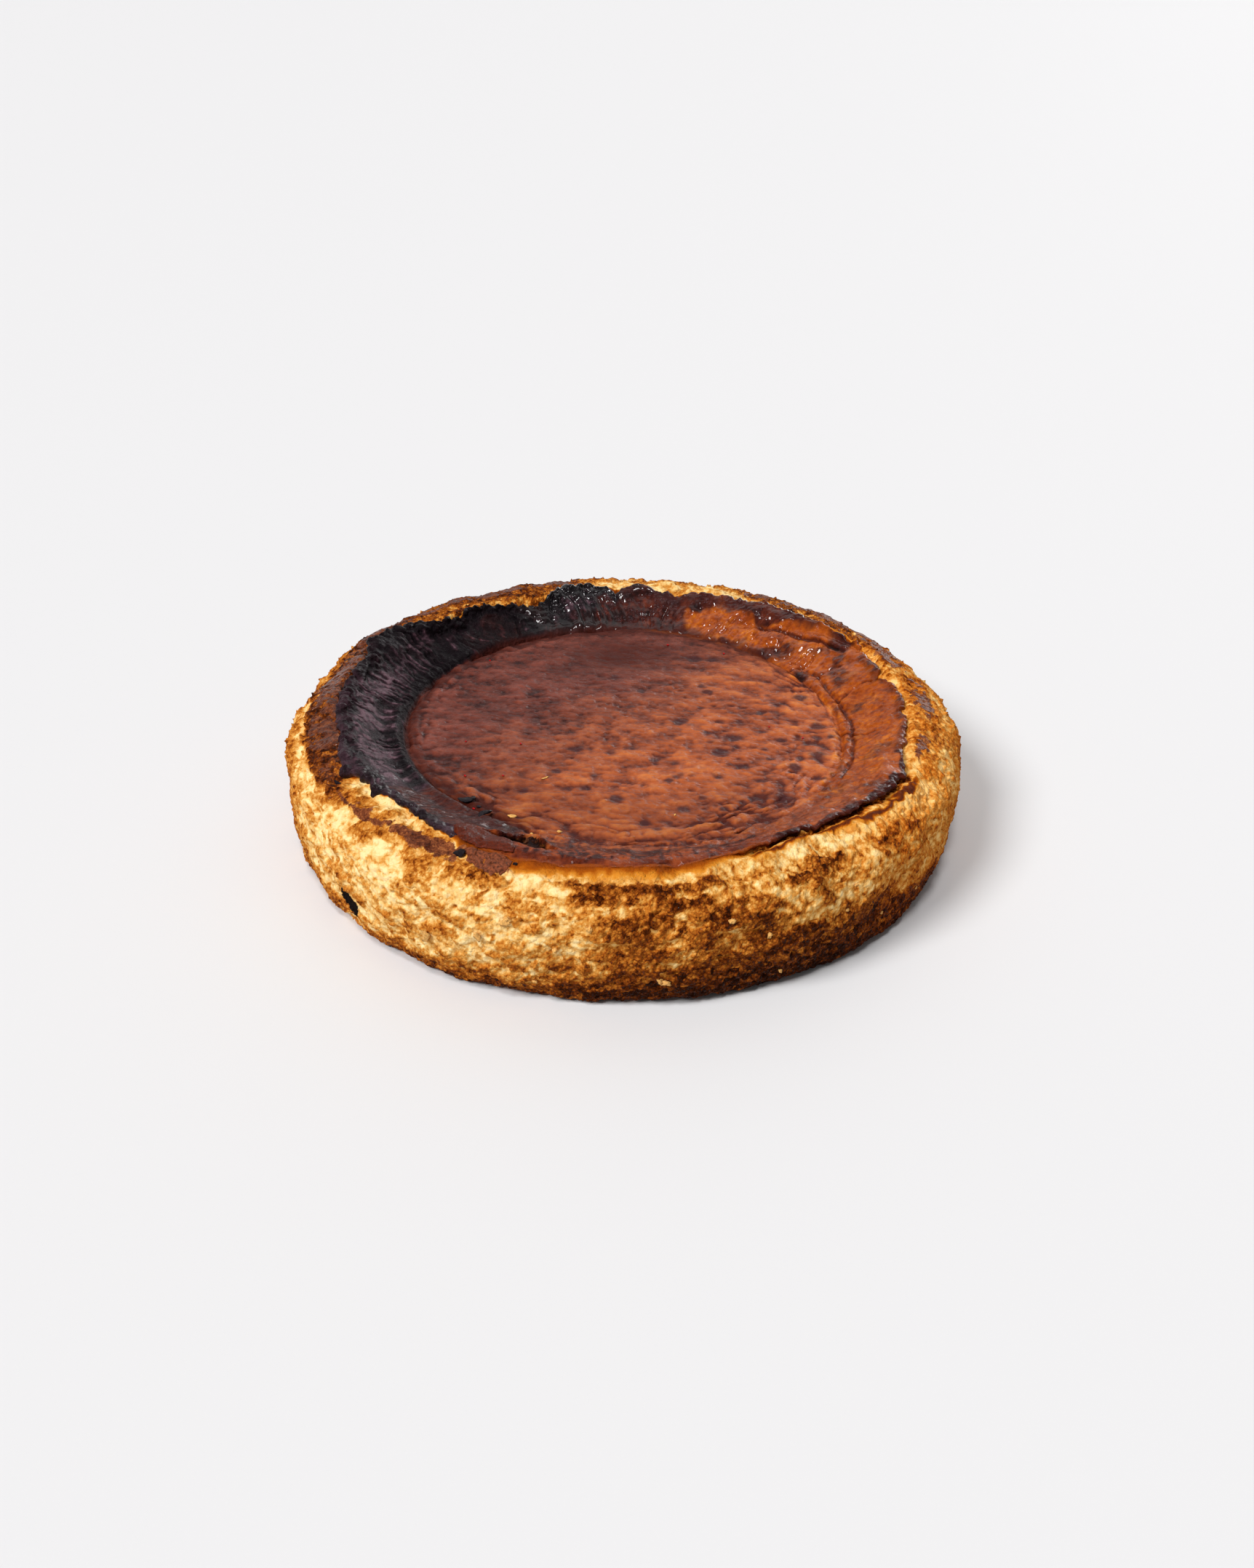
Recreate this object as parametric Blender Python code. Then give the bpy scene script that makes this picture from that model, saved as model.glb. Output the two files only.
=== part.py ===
"""Burnt-top round cheesecake, whole and uncut.

One closed body: a flat base, a nearly upright crumbly side, a rounded shoulder, a raised
burnt rim, a steep inner wall and the sunken, faintly domed top.
Metres, +Z up. The origin is the centre of the flat base and +Y is the back of the cake.
Azimuths are in degrees, counted from +X towards +Y, so 270 is the front.
"""
import math

import bpy
import numpy as np

# Sizes round the cake, in millimetres: the mean, then the amount and the azimuth
# of the parts that vary once, twice and three times round
BASE_RADIUS = (111.4, (1.6, 110), (1.0, 9), (0.3, 85))
WALL_RADIUS = (118.9, (0.75, 187), (0.75, 10), (0.1, 95))
SHOULDER_HEIGHT = (38.6, (0.2, 155), (0.15, 155))
RIM_RADIUS = (98.8, (0.6, 176), (0.8, 167), (0.2, 51))
RIM_HEIGHT = (44.4, (0.85, 142), (0.25, 175), (0.2, 38))
TOP_RADIUS = (77.0, (1.3, 255), (1.5, 145), (1.0, 72))
TOP_EDGE_HEIGHT = (35.5, (0.7, 295))
TOP_MIDDLE_HEIGHT = 36.3

# Relief of the surface, in millimetres
CRUMB_LUMPS = ((17.0, 0.9), (8.5, 0.75), (5.0, 0.5))
WALL_FOLD_SPACING = 6.5
WALL_FOLD_DEPTH = 0.55
TOP_SWELL_SIZE = 13.0
TOP_SWELL_DEPTH = 0.35
HOLLOW_AZIMUTH = 93.0
HOLLOW_RADIUS = 52.0
HOLLOW_DEPTH = 1.0

# Grid of the body
COLUMNS = 180
TOP_COLUMNS = 90
TOP_RINGS = 5
STATION_STEPS = ((0, 9, 18), (9.4, 12.2, 7), (12.8, 14, 3))

MM = 0.001
CAKE_COLOUR = (0.62, 0.36, 0.14, 1.0)


def around(size, azimuth):
    """A size in metres at each azimuth: its mean plus its once, twice and three times terms."""
    total = np.full_like(azimuth, size[0])
    for times, (amount, bearing) in enumerate(size[1:], 1):
        total = total + amount * np.cos(times * (azimuth - math.radians(bearing)))
    return total * MM


def control_ring(azimuth):
    """Radius and height of the fifteen control points of the profile, base edge to top edge."""
    base = around(BASE_RADIUS, azimuth)
    wall = around(WALL_RADIUS, azimuth)
    shoulder = around(SHOULDER_HEIGHT, azimuth)
    rim = around(RIM_RADIUS, azimuth)
    crest = around(RIM_HEIGHT, azimuth)
    top = around(TOP_RADIUS, azimuth)
    floor = around(TOP_EDGE_HEIGHT, azimuth)
    flat = np.zeros_like(azimuth)
    radius = [base, 0.4 * base + 0.6 * wall - 0.0012, wall - 0.0024, wall - 0.0008, wall,
              wall - 0.0002, wall - 0.0022, wall - 0.0060, 0.45 * rim + 0.55 * wall - 0.001,
              rim + 0.0035, rim, rim - 0.0035, 0.6 * rim + 0.4 * top, 0.25 * rim + 0.75 * top, top]
    height = [flat, flat + 0.0014, flat + 0.006, flat + 0.013, flat + 0.022,
              flat + 0.030, shoulder - 0.003, shoulder + 0.0005, 0.55 * shoulder + 0.45 * crest,
              crest - 0.0008, crest, crest - 0.0012, 0.55 * crest + 0.45 * floor,
              0.15 * crest + 0.85 * floor, floor]
    return np.array(radius), np.array(height)


def smooth_through(values, station):
    """A smooth curve through the control values, read at each station along the profile."""
    last = len(values) - 1
    cell = np.clip(np.floor(station).astype(int), 0, last - 1)
    part = station - cell
    near = [np.take_along_axis(values, np.clip(cell + k, 0, last)[None], 0)[0] for k in (-1, 0, 1, 2)]
    slope = near[2] - near[0]
    bend = 2 * near[0] - 5 * near[1] + 4 * near[2] - near[3]
    twist = 3 * near[1] - near[0] - 3 * near[2] + near[3]
    return near[1] + 0.5 * part * (slope + part * (bend + part * twist))


def profile(azimuth, station):
    """Radius and height of the plain surface, without relief."""
    radius, height = control_ring(azimuth)
    return smooth_through(radius, station), np.maximum(smooth_through(height, station), 0)


def corner_value(x, y, z, seed):
    """A fixed number from 0 to 1 for each corner of a cubic lattice."""
    mixed = (x * 374761393 + y * 668265263 + z * 1440662683 + seed * 974634777) & 0xFFFFFFFF
    mixed = ((mixed ^ (mixed >> 13)) * 1274126177) & 0xFFFFFFFF
    return ((mixed ^ (mixed >> 16)) & 0xFFFF) / 65535.0


def lumps(points, size, seed):
    """Smooth lumps of about the given size, from -1 to 1."""
    scaled = points / size
    cell = np.floor(scaled).astype(np.int64)
    part = scaled - cell
    part = part * part * part * (part * (part * 6 - 15) + 10)
    total = 0
    for corner in np.ndindex(2, 2, 2):
        weight = 1
        for axis in range(3):
            weight = weight * (part[..., axis] if corner[axis] else 1 - part[..., axis])
        x, y, z = (cell[..., axis] + corner[axis] for axis in range(3))
        total = total + weight * corner_value(x, y, z, seed)
    return 2 * total - 1


def step(low, high, value):
    """A smooth rise from 0 at low to 1 at high."""
    part = np.clip((value - low) / (high - low), 0, 1)
    return part * part * (3 - 2 * part)


def band(low, high, soft, value):
    """1 between low and high, falling to 0 over the soft distance on each side."""
    return step(low - soft, low, value) * (1 - step(high, high + soft, value))


def hump(middle, width, value):
    """A rounded hump of height 1."""
    return np.exp(-((value - middle) / width) ** 2)


def relief(azimuth, station, points):
    """Height of the relief in metres: crumbly side, folds of the wall, tears and the skin flap."""
    degrees = np.degrees(azimuth) % 360
    crumb = step(0.2, 1.6, station) * (1 - 0.75 * step(9.2, 10.2, station))
    crumb = crumb * (1 - step(10.8, 12.0, station))
    height = 0
    for seed, (size, depth) in enumerate(CRUMB_LUMPS):
        height = height + depth * crumb * lumps(points, size * MM, seed + 1)
    # folds that run down the inner wall
    round_only = np.stack([np.cos(azimuth), np.sin(azimuth), 0.12 * station], -1) * 0.09
    folds = lumps(round_only, WALL_FOLD_SPACING * MM, 7)
    height = height + WALL_FOLD_DEPTH * folds * band(10.6, 13.0, 0.8, station)
    # crumb ledge behind the burnt edge at the back left
    ledge = band(108, 142, 8, degrees)
    height = height + ledge * (1.0 * hump(11.1, 0.5, station) - 1.3 * hump(9.7, 0.9, station))
    # double fold at the back right
    fold_line = 8.8 + (54 - degrees) * 0.07
    fold = band(24, 56, 5, degrees)
    height = height + fold * (0.9 * hump(fold_line, 0.5, station)
                              + 0.8 * hump(fold_line + 1.7, 0.45, station)
                              - 0.8 * hump(fold_line + 0.9, 0.45, station))
    # groove between the skin edge and the crumb, right and front right
    turn = (degrees + 180) % 360 - 180
    groove_line = 9.2 + 0.014 * (turn + 32) + 0.25 * np.sin(azimuth * 9)
    height = height - 1.3 * band(-62, 0, 8, turn) * hump(groove_line, 0.4, station)
    # torn strip outside the burnt edge, front left
    strip = band(210, 238, 5, degrees)
    height = height - 1.1 * strip * hump(8.5, 0.45, station)
    height = height + 0.7 * strip * hump(9.4, 0.4, station)
    # flap of skin folded over the rim, with the hollow behind it
    flap = band(240.5, 250.0, 1.6, degrees + 1.5 * (station - 8.8))
    height = height + 1.9 * flap * band(7.9, 9.9, 0.5, station)
    hollow = band(243, 259, 4, degrees)
    height = height - 1.8 * hollow * hump(11.5, 0.5, station)
    # small hole in the right shoulder
    height = height - 1.5 * hump(330.8, 1.2, degrees) * hump(7.1, 0.35, station)
    return height * MM


def body_rows():
    """Rows of points round the cake from the base edge up over the rim to the top's edge."""
    stations = np.concatenate([np.linspace(low, high, count + 1 if low == 0 else count)
                               for low, high, count in STATION_STEPS])
    ring = np.arange(COLUMNS) * 2 * math.pi / COLUMNS
    station, azimuth = np.meshgrid(stations, ring, indexing="ij")
    radius, height = profile(azimuth, station)
    ahead = profile(azimuth, np.minimum(station + 0.02, 14))
    behind = profile(azimuth, np.maximum(station - 0.02, 0))
    along = (ahead[0] - behind[0], ahead[1] - behind[1])
    length = np.hypot(along[0], along[1])
    out = (along[1] / length, -along[0] / length)
    points = np.stack([radius * np.cos(azimuth), radius * np.sin(azimuth), height], -1)
    rise = relief(azimuth, station, points)
    radius = radius + rise * out[0]
    height = np.maximum(height + rise * out[1], 0)
    height[0] = 0
    return np.stack([radius * np.cos(azimuth), radius * np.sin(azimuth), height], -1)


def top_rows():
    """Rings of points of the sunken top, from just inside its edge to near the middle."""
    share = np.linspace(1, 0, TOP_RINGS + 1)[1:-1]
    ring = np.arange(TOP_COLUMNS) * 2 * math.pi / TOP_COLUMNS
    part, azimuth = np.meshgrid(share, ring, indexing="ij")
    radius = around(TOP_RADIUS, azimuth) * part
    edge = around(TOP_EDGE_HEIGHT, azimuth)
    height = TOP_MIDDLE_HEIGHT * MM * (1 - part * part) + edge * part * part
    flat = np.stack([radius * np.cos(azimuth), radius * np.sin(azimuth), height], -1)
    height = height + TOP_SWELL_DEPTH * MM * lumps(flat, TOP_SWELL_SIZE * MM, 11)
    bearing = math.radians(HOLLOW_AZIMUTH)
    away = np.hypot(flat[..., 0] - HOLLOW_RADIUS * MM * math.cos(bearing),
                    flat[..., 1] - HOLLOW_RADIUS * MM * math.sin(bearing))
    height = height - HOLLOW_DEPTH * MM * hump(0, 0.016, away)
    return np.stack([radius * np.cos(azimuth), radius * np.sin(azimuth), height], -1)


def build_mesh():
    """Join the rows into one closed skin of triangles with a flat base."""
    outer = body_rows()
    inner = top_rows()
    points = np.concatenate([outer.reshape(-1, 3), inner.reshape(-1, 3),
                             [[0, 0, 0], [0, 0, TOP_MIDDLE_HEIGHT * MM]]])
    inner_start = outer.shape[0] * COLUMNS
    base_middle = len(points) - 2
    top_middle = len(points) - 1
    faces = []

    def bridge(low, high, count):
        for k in range(count):
            n = (k + 1) % count
            if (k + low) % 2:
                faces.append((low + k, low + n, high + n))
                faces.append((low + k, high + n, high + k))
            else:
                faces.append((low + k, low + n, high + k))
                faces.append((low + n, high + n, high + k))

    for k in range(COLUMNS):
        faces.append((base_middle, (k + 1) % COLUMNS, k))
    for row in range(outer.shape[0] - 1):
        bridge(row * COLUMNS, (row + 1) * COLUMNS, COLUMNS)
    edge = (outer.shape[0] - 1) * COLUMNS
    for k in range(TOP_COLUMNS):
        first = edge + 2 * k
        second = first + 1
        third = edge + (2 * k + 2) % COLUMNS
        here = inner_start + k
        following = inner_start + (k + 1) % TOP_COLUMNS
        faces.append((first, second, here))
        faces.append((second, following, here))
        faces.append((second, third, following))
    for row in range(inner.shape[0] - 1):
        bridge(inner_start + row * TOP_COLUMNS, inner_start + (row + 1) * TOP_COLUMNS, TOP_COLUMNS)
    last = inner_start + (inner.shape[0] - 1) * TOP_COLUMNS
    for k in range(TOP_COLUMNS):
        faces.append((last + k, last + (k + 1) % TOP_COLUMNS, top_middle))
    mesh = bpy.data.meshes.new("cheesecake")
    mesh.from_pydata(points.tolist(), [], faces)
    mesh.update()
    mesh.shade_smooth()
    mesh.set_sharp_from_angle(angle=math.radians(55))
    return mesh


def cake_material():
    """Baked cheesecake: golden brown and dull."""
    material = bpy.data.materials.new("baked cheesecake")
    material.use_nodes = True
    surface = material.node_tree.nodes["Principled BSDF"]
    surface.inputs["Base Color"].default_value = CAKE_COLOUR
    surface.inputs["Roughness"].default_value = 0.62
    surface.inputs["Metallic"].default_value = 0.0
    material.diffuse_color = CAKE_COLOUR
    return material


for item in list(bpy.data.objects):
    bpy.data.objects.remove(item, do_unlink=True)

cake_mesh = build_mesh()
cake_mesh.materials.append(cake_material())
cake = bpy.data.objects.new("cheesecake", cake_mesh)
bpy.context.scene.collection.objects.link(cake)
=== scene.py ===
import math

import bpy
import numpy as np
from mathutils import Matrix, Vector


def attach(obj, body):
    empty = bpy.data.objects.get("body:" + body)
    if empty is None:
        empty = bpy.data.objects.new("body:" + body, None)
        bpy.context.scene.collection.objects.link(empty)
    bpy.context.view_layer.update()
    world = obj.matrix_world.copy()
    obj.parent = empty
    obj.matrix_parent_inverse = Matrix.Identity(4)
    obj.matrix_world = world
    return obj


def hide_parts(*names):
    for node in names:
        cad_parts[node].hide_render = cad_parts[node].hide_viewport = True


# Looks of a whole burnt-top cheesecake: pale crumbly side toasted brown, a torn skin that is
# burnt black at the left and amber at the right, and a sunken, leathery, half-glossy top.
# Metres, +Z up, origin at the middle of the base. Azimuths are degrees from +X towards +Y,
# so the front is 270. "Station" runs along the profile: 0 base edge, 4 side, 7 shoulder,
# 10 crest of the rim, 14 edge of the sunken top. "Inside" is the distance in millimetres from
# that edge towards the middle. The last number of every noise call is its seed.

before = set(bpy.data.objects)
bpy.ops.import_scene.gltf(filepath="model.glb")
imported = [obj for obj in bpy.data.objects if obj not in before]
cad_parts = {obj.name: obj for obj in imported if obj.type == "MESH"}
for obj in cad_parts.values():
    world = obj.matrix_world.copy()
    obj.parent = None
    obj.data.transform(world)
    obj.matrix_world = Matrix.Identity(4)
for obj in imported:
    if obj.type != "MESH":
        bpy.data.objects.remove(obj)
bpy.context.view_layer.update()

MM = 0.001

# Sizes round the cake, in millimetres: the mean, then the amount and the azimuth of the
# parts that vary once, twice and three times round
BASE_RADIUS = (111.4, (1.6, 110), (1.0, 9), (0.3, 85))
WALL_RADIUS = (118.9, (0.75, 187), (0.75, 10), (0.1, 95))
SHOULDER_HEIGHT = (38.6, (0.2, 155), (0.15, 155))
RIM_RADIUS = (98.8, (0.6, 176), (0.8, 167), (0.2, 51))
RIM_HEIGHT = (44.4, (0.85, 142), (0.25, 175), (0.2, 38))
TOP_RADIUS = (77.0, (1.3, 255), (1.5, 145), (1.0, 72))
TOP_EDGE_HEIGHT = (35.5, (0.7, 295))
TOP_MIDDLE_HEIGHT = 36.3
CRUMB_LUMPS = ((17.0, 0.9), (8.5, 0.75), (5.0, 0.5))
WALL_FOLD_SPACING = 6.5
WALL_FOLD_DEPTH = 0.55
HOLLOW_AZIMUTH = 93.0
HOLLOW_RADIUS = 52.0
HOLLOW_DEPTH = 1.0

# Where the torn edge of the burnt skin lies: azimuth and station
SKIN_EDGE = ((4, 9.95), (12, 11.0), (20, 10.6), (28, 10.2), (38, 10.4), (48, 10.5), (58, 10.7),
             (67, 10.6), (73, 10.85), (78, 11.3), (82, 11.2), (86, 10.45), (90, 10.7), (93, 11.2),
             (97, 10.45), (101, 10.1), (105, 10.8), (110, 11.5), (114, 11.95), (120, 11.7),
             (125, 11.3), (130, 11.05), (136, 11.35), (141, 11.3), (146, 9.9), (151, 9.3),
             (157, 8.9), (165, 10.4), (171, 10.15), (183, 10.05), (196, 9.9), (203, 9.25),
             (208, 8.8), (213, 9.9), (218, 9.35), (225, 10.0), (232, 9.3), (238, 9.2), (245, 8.9),
             (262, 9.0), (275, 9.05), (284, 9.3), (291, 9.7), (300, 10.0), (308, 9.9), (317, 9.35),
             (326, 9.15), (334, 8.95), (343, 10.2), (353, 10.35))

TOP_STATION = 14.0
SHOULDER_STATION = 6.5
UNDER_SKIN = 0.3

# Columns round each mesh and rows across it, and where the middle of the top begins
CRUMB_COLUMNS = 1800
BASE_ROWS = 41
SIDE_ROWS = 41
SHOULDER_ROWS = 36
SKIN_COLUMNS = 1440
RIM_ROWS = 68
LIP_ROWS = 9
OUTER_ROWS = 66
MIDDLE_COLUMNS = 720
MIDDLE_ROWS = 100
MIDDLE_SHARE = 0.6


# Shape of the plain cake

def around(size, azimuth):
    """A size in metres at each azimuth: its mean plus its once, twice and three times terms."""
    total = np.full_like(azimuth, size[0])
    for times, (amount, bearing) in enumerate(size[1:], 1):
        total += amount * np.cos(times * (azimuth - math.radians(bearing)))
    return total * MM


def control_ring(azimuth):
    """Radius and height of the fifteen control points of the profile, base edge to top edge."""
    base = around(BASE_RADIUS, azimuth)
    wall = around(WALL_RADIUS, azimuth)
    shoulder = around(SHOULDER_HEIGHT, azimuth)
    rim = around(RIM_RADIUS, azimuth)
    crest = around(RIM_HEIGHT, azimuth)
    top = around(TOP_RADIUS, azimuth)
    floor = around(TOP_EDGE_HEIGHT, azimuth)
    flat = np.zeros_like(azimuth)
    radius = [base, 0.4 * base + 0.6 * wall - 0.0012, wall - 0.0024, wall - 0.0008, wall,
              wall - 0.0002, wall - 0.0022, wall - 0.0060, 0.45 * rim + 0.55 * wall - 0.001,
              rim + 0.0035, rim, rim - 0.0035, 0.6 * rim + 0.4 * top, 0.25 * rim + 0.75 * top, top]
    height = [flat, flat + 0.0014, flat + 0.006, flat + 0.013, flat + 0.022,
              flat + 0.030, shoulder - 0.003, shoulder + 0.0005, 0.55 * shoulder + 0.45 * crest,
              crest - 0.0008, crest, crest - 0.0012, 0.55 * crest + 0.45 * floor,
              0.15 * crest + 0.85 * floor, floor]
    return np.array(radius), np.array(height)


def smooth_through(values, station):
    """A smooth curve through the control values, read at each station along the profile."""
    last = len(values) - 1
    cell = np.clip(np.floor(station).astype(int), 0, last - 1)
    part = station - cell
    near = [np.take_along_axis(values, np.clip(cell + k, 0, last)[None], 0)[0] for k in (-1, 0, 1, 2)]
    slope = near[2] - near[0]
    bend = 2 * near[0] - 5 * near[1] + 4 * near[2] - near[3]
    twist = 3 * near[1] - near[0] - 3 * near[2] + near[3]
    return near[1] + 0.5 * part * (slope + part * (bend + part * twist))


def plain_surface(azimuth, station):
    """Points of the plain profile turned round the axis, and the outward direction there."""
    controls = control_ring(azimuth)
    radius, height = (smooth_through(values, station) for values in controls)
    ahead = [smooth_through(values, np.minimum(station + 0.02, TOP_STATION)) for values in controls]
    behind = [smooth_through(values, np.maximum(station - 0.02, 0)) for values in controls]
    across = ahead[0] - behind[0]
    along = ahead[1] - behind[1]
    length = np.hypot(across, along)
    east, north = np.cos(azimuth), np.sin(azimuth)
    points = np.stack([radius * east, radius * north, np.maximum(height, 0)], -1)
    outward = np.stack([along / length * east, along / length * north, -across / length], -1)
    return points, outward


# Noise

def corner_value(x, y, z, seed):
    """A fixed number from 0 to 1 for each corner of a cubic lattice."""
    mixed = (x * 374761393 + y * 668265263 + z * 1440662683 + seed * 974634777) & 0xFFFFFFFF
    mixed = ((mixed ^ (mixed >> 13)) * 1274126177) & 0xFFFFFFFF
    return ((mixed ^ (mixed >> 16)) & 0xFFFF) / 65535.0


def lumps(points, size, seed):
    """Smooth lumps of about the given size in millimetres, from -1 to 1."""
    scaled = points / (size * MM)
    cell = np.floor(scaled).astype(np.int64)
    part = scaled - cell
    part *= part * part * (part * (part * 6 - 15) + 10)
    total = 0
    for corner in np.ndindex(2, 2, 2):
        weight = 1
        for axis in range(3):
            weight *= part[..., axis] if corner[axis] else 1 - part[..., axis]
        x, y, z = (cell[..., axis] + corner[axis] for axis in range(3))
        total += weight * corner_value(x, y, z, seed)
    return 2 * total - 1


def curds(points, size, seed):
    """Rounded grains with creases between them: the size of the lumps' value, -1 to 1."""
    return 2.6 * np.abs(lumps(points, size, seed)) - 1


def bubbles(points, size, seed):
    """For one scattered point per cell of a size in millimetres: the distance to the nearest over
    that size, and that point's number."""
    scaled = points / (size * MM)
    cell = np.floor(scaled).astype(np.int64)
    nearest = np.full(points.shape[:-1], 9.0)
    number = np.zeros(points.shape[:-1])
    for corner in np.ndindex(3, 3, 3):
        x, y, z = (cell[..., axis] + corner[axis] - 1 for axis in range(3))
        away = 0
        for axis, low in enumerate((x, y, z)):
            away += (low + corner_value(x, y, z, seed + axis) - scaled[..., axis]) ** 2
        closer = away < nearest
        nearest = np.where(closer, away, nearest)
        number = np.where(closer, corner_value(x, y, z, seed + 3), number)
    return np.sqrt(nearest), number


def clumps(points, size, seed):
    """Round clumps with creases between them, from about -0.5 to 0.5, and a number for each."""
    away, number = bubbles(points, size, seed)
    return 0.5 - 1.5 * away * away, number


def step(low, high, value):
    """A smooth rise from 0 at low to 1 at high."""
    part = np.clip((value - low) / (high - low), 0, 1)
    return part * part * (3 - 2 * part)


def band(low, high, soft, value):
    """1 between low and high, falling to 0 over the soft distance on each side."""
    return step(low - soft, low, value) * (1 - step(high, high + soft, value))


def hump(middle, width, value):
    """A rounded hump of height 1."""
    return np.exp(-((value - middle) / width) ** 2)


def sectors(azimuth):
    """The azimuths in degrees, and a function of low, high and soft that gives band() on them,
    where low may be less than 0 or high more than 360."""
    degrees = np.degrees(azimuth) % 360

    def sector(low, high, soft):
        middle = (low + high) / 2
        turn = (degrees - middle + 180) % 360 - 180
        return band(low - middle, high - middle, soft, turn)
    return degrees, sector


def patch(azimuth, station, half_turn, half_station, degrees, stations):
    """A rounded patch of height 1, given by its middle and its half widths."""
    turn = (degrees - azimuth + 180) % 360 - 180
    return np.exp(-(turn / half_turn) ** 2 - ((stations - station) / half_station) ** 2)


def round_points(azimuth, radius, height):
    """Points on a cylinder: a small radius stretches noise round, a small height stretches it down."""
    return np.stack([np.cos(azimuth) * radius, np.sin(azimuth) * radius, height], -1)


# Relief and burning

def skin_edge(azimuth, ragged=1.0):
    """Station of the skin's torn edge: through the named places, with ragged teeth added."""
    places = np.array([place[0] for place in SKIN_EDGE], float)
    stations = np.array([place[1] for place in SKIN_EDGE], float)
    degrees, sector = sectors(azimuth)
    edge = np.interp(degrees, places, stations, period=360)
    ring = round_points(azimuth, 0.1, azimuth * 0)
    smooth = sector(243, 287, 8)
    teeth = 0.22 * lumps(ring, 4.5, 21) + 0.16 * lumps(ring, 2.1, 22) + 0.1 * lumps(ring, 1.1, 23)
    return edge + ragged * teeth * (1 - 0.75 * smooth)


def relief(azimuth, station, points):
    """Height of the main relief in millimetres: crumb, folds of the wall, the crumb ledge at the
    back left, the double fold at the back right and a notch in the shoulder."""
    degrees, sector = sectors(azimuth)
    crumb = step(0.2, 1.6, station) * (1 - 0.75 * step(9.2, 10.2, station))
    crumb *= 1 - step(10.8, 12.0, station)
    height = 0
    for seed, (size, depth) in enumerate(CRUMB_LUMPS):
        height += depth * crumb * lumps(points, size, seed + 1)
    folds = lumps(round_points(azimuth, 0.09, 0.0108 * station), WALL_FOLD_SPACING, 7)
    height += WALL_FOLD_DEPTH * folds * band(10.6, 13.0, 0.8, station)
    ledge = sector(108, 142, 8)
    height += ledge * (hump(11.1, 0.5, station) - 1.3 * hump(9.7, 0.9, station))
    fold_line = 9.9 + (degrees - 29) * 0.055
    fold = sector(27, 58, 5)
    height += fold * (hump(fold_line, 0.45, station) + 0.6 * hump(fold_line + 1.7, 0.45, station)
                      - hump(fold_line + 0.85, 0.3, station))
    return height - 1.5 * hump(330.8, 1.2, degrees) * hump(7.1, 0.35, station)


def edge_gap(azimuth, station):
    """Depth in millimetres of the crumb just outside the torn edge of the skin."""
    sector = sectors(azimuth)[1]
    ring = round_points(azimuth, 0.1, azimuth * 0)
    out = skin_edge(azimuth, 0.3) - station + 0.2 * lumps(ring, 7, 24) + 0.15 * lumps(ring, 3, 25)
    front_right = sector(293, 334, 5)
    right = sector(336, 386, 5)
    left = sector(150, 209, 5)
    strip = sector(210, 239, 4)
    return (1.9 * front_right * hump(0.25, 0.34, out) - 0.5 * front_right * hump(0.95, 0.3, out)
            + 1.4 * right * hump(0.45, 0.4, out) - 0.4 * right * hump(1.3, 0.4, out)
            + left * hump(0.4, 0.5, out)
            + 1.2 * strip * hump(0.6, 0.4, out) - 0.6 * strip * hump(1.35, 0.3, out))


# Patches of torn skin left on the crumb: azimuth, station, half width, half height, amount
TORN_PATCHES = ((247.2, 8.35, 3.4, 0.5, 1.15), (238, 8.0, 5, 0.42, 1.0), (219, 8.15, 4, 0.35, 0.7),
                (21, 8.8, 7, 0.55, 1.3), (4, 8.35, 5.5, 0.55, 1.5), (346, 8.55, 5, 0.35, 1.0),
                (176, 8.7, 9, 0.5, 0.4))


def torn_skin(azimuth, station, points):
    """How much torn skin is left on the crumb of the shoulder, 0 to 1."""
    degrees, sector = sectors(azimuth)
    ring = round_points(azimuth, 0.11, azimuth * 0)
    line = 7.95 + 0.018 * (degrees - 212) + 0.16 * lumps(ring, 7, 26)
    width = 0.16 + 0.10 * lumps(ring, 5, 27) + 0.012 * np.clip(degrees - 222, 0, 14)
    zone = (1.35 * sector(213, 243, 3) * hump(0, width, station - line)
            + 0.8 * sector(156, 201, 6) * band(8.0, 9.3, 0.6, station)
            + sector(106, 148, 8) * band(7.0, 8.4, 0.5, station)
            + sector(26, 58, 8) * band(6.9, 8.3, 0.5, station))
    for bearing, level, turn, rise, amount in TORN_PATCHES:
        zone += amount * patch(bearing, level, turn, rise, degrees, station)
    torn = 0.7 * lumps(points, 6, 31) + 0.8 * lumps(points, 2.6, 32) + 0.6 * lumps(points, 1.3, 33)
    return step(0.35, 0.75, zone - 0.14 + 0.95 * torn * np.clip(3 * zone, 0, 1))


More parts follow.
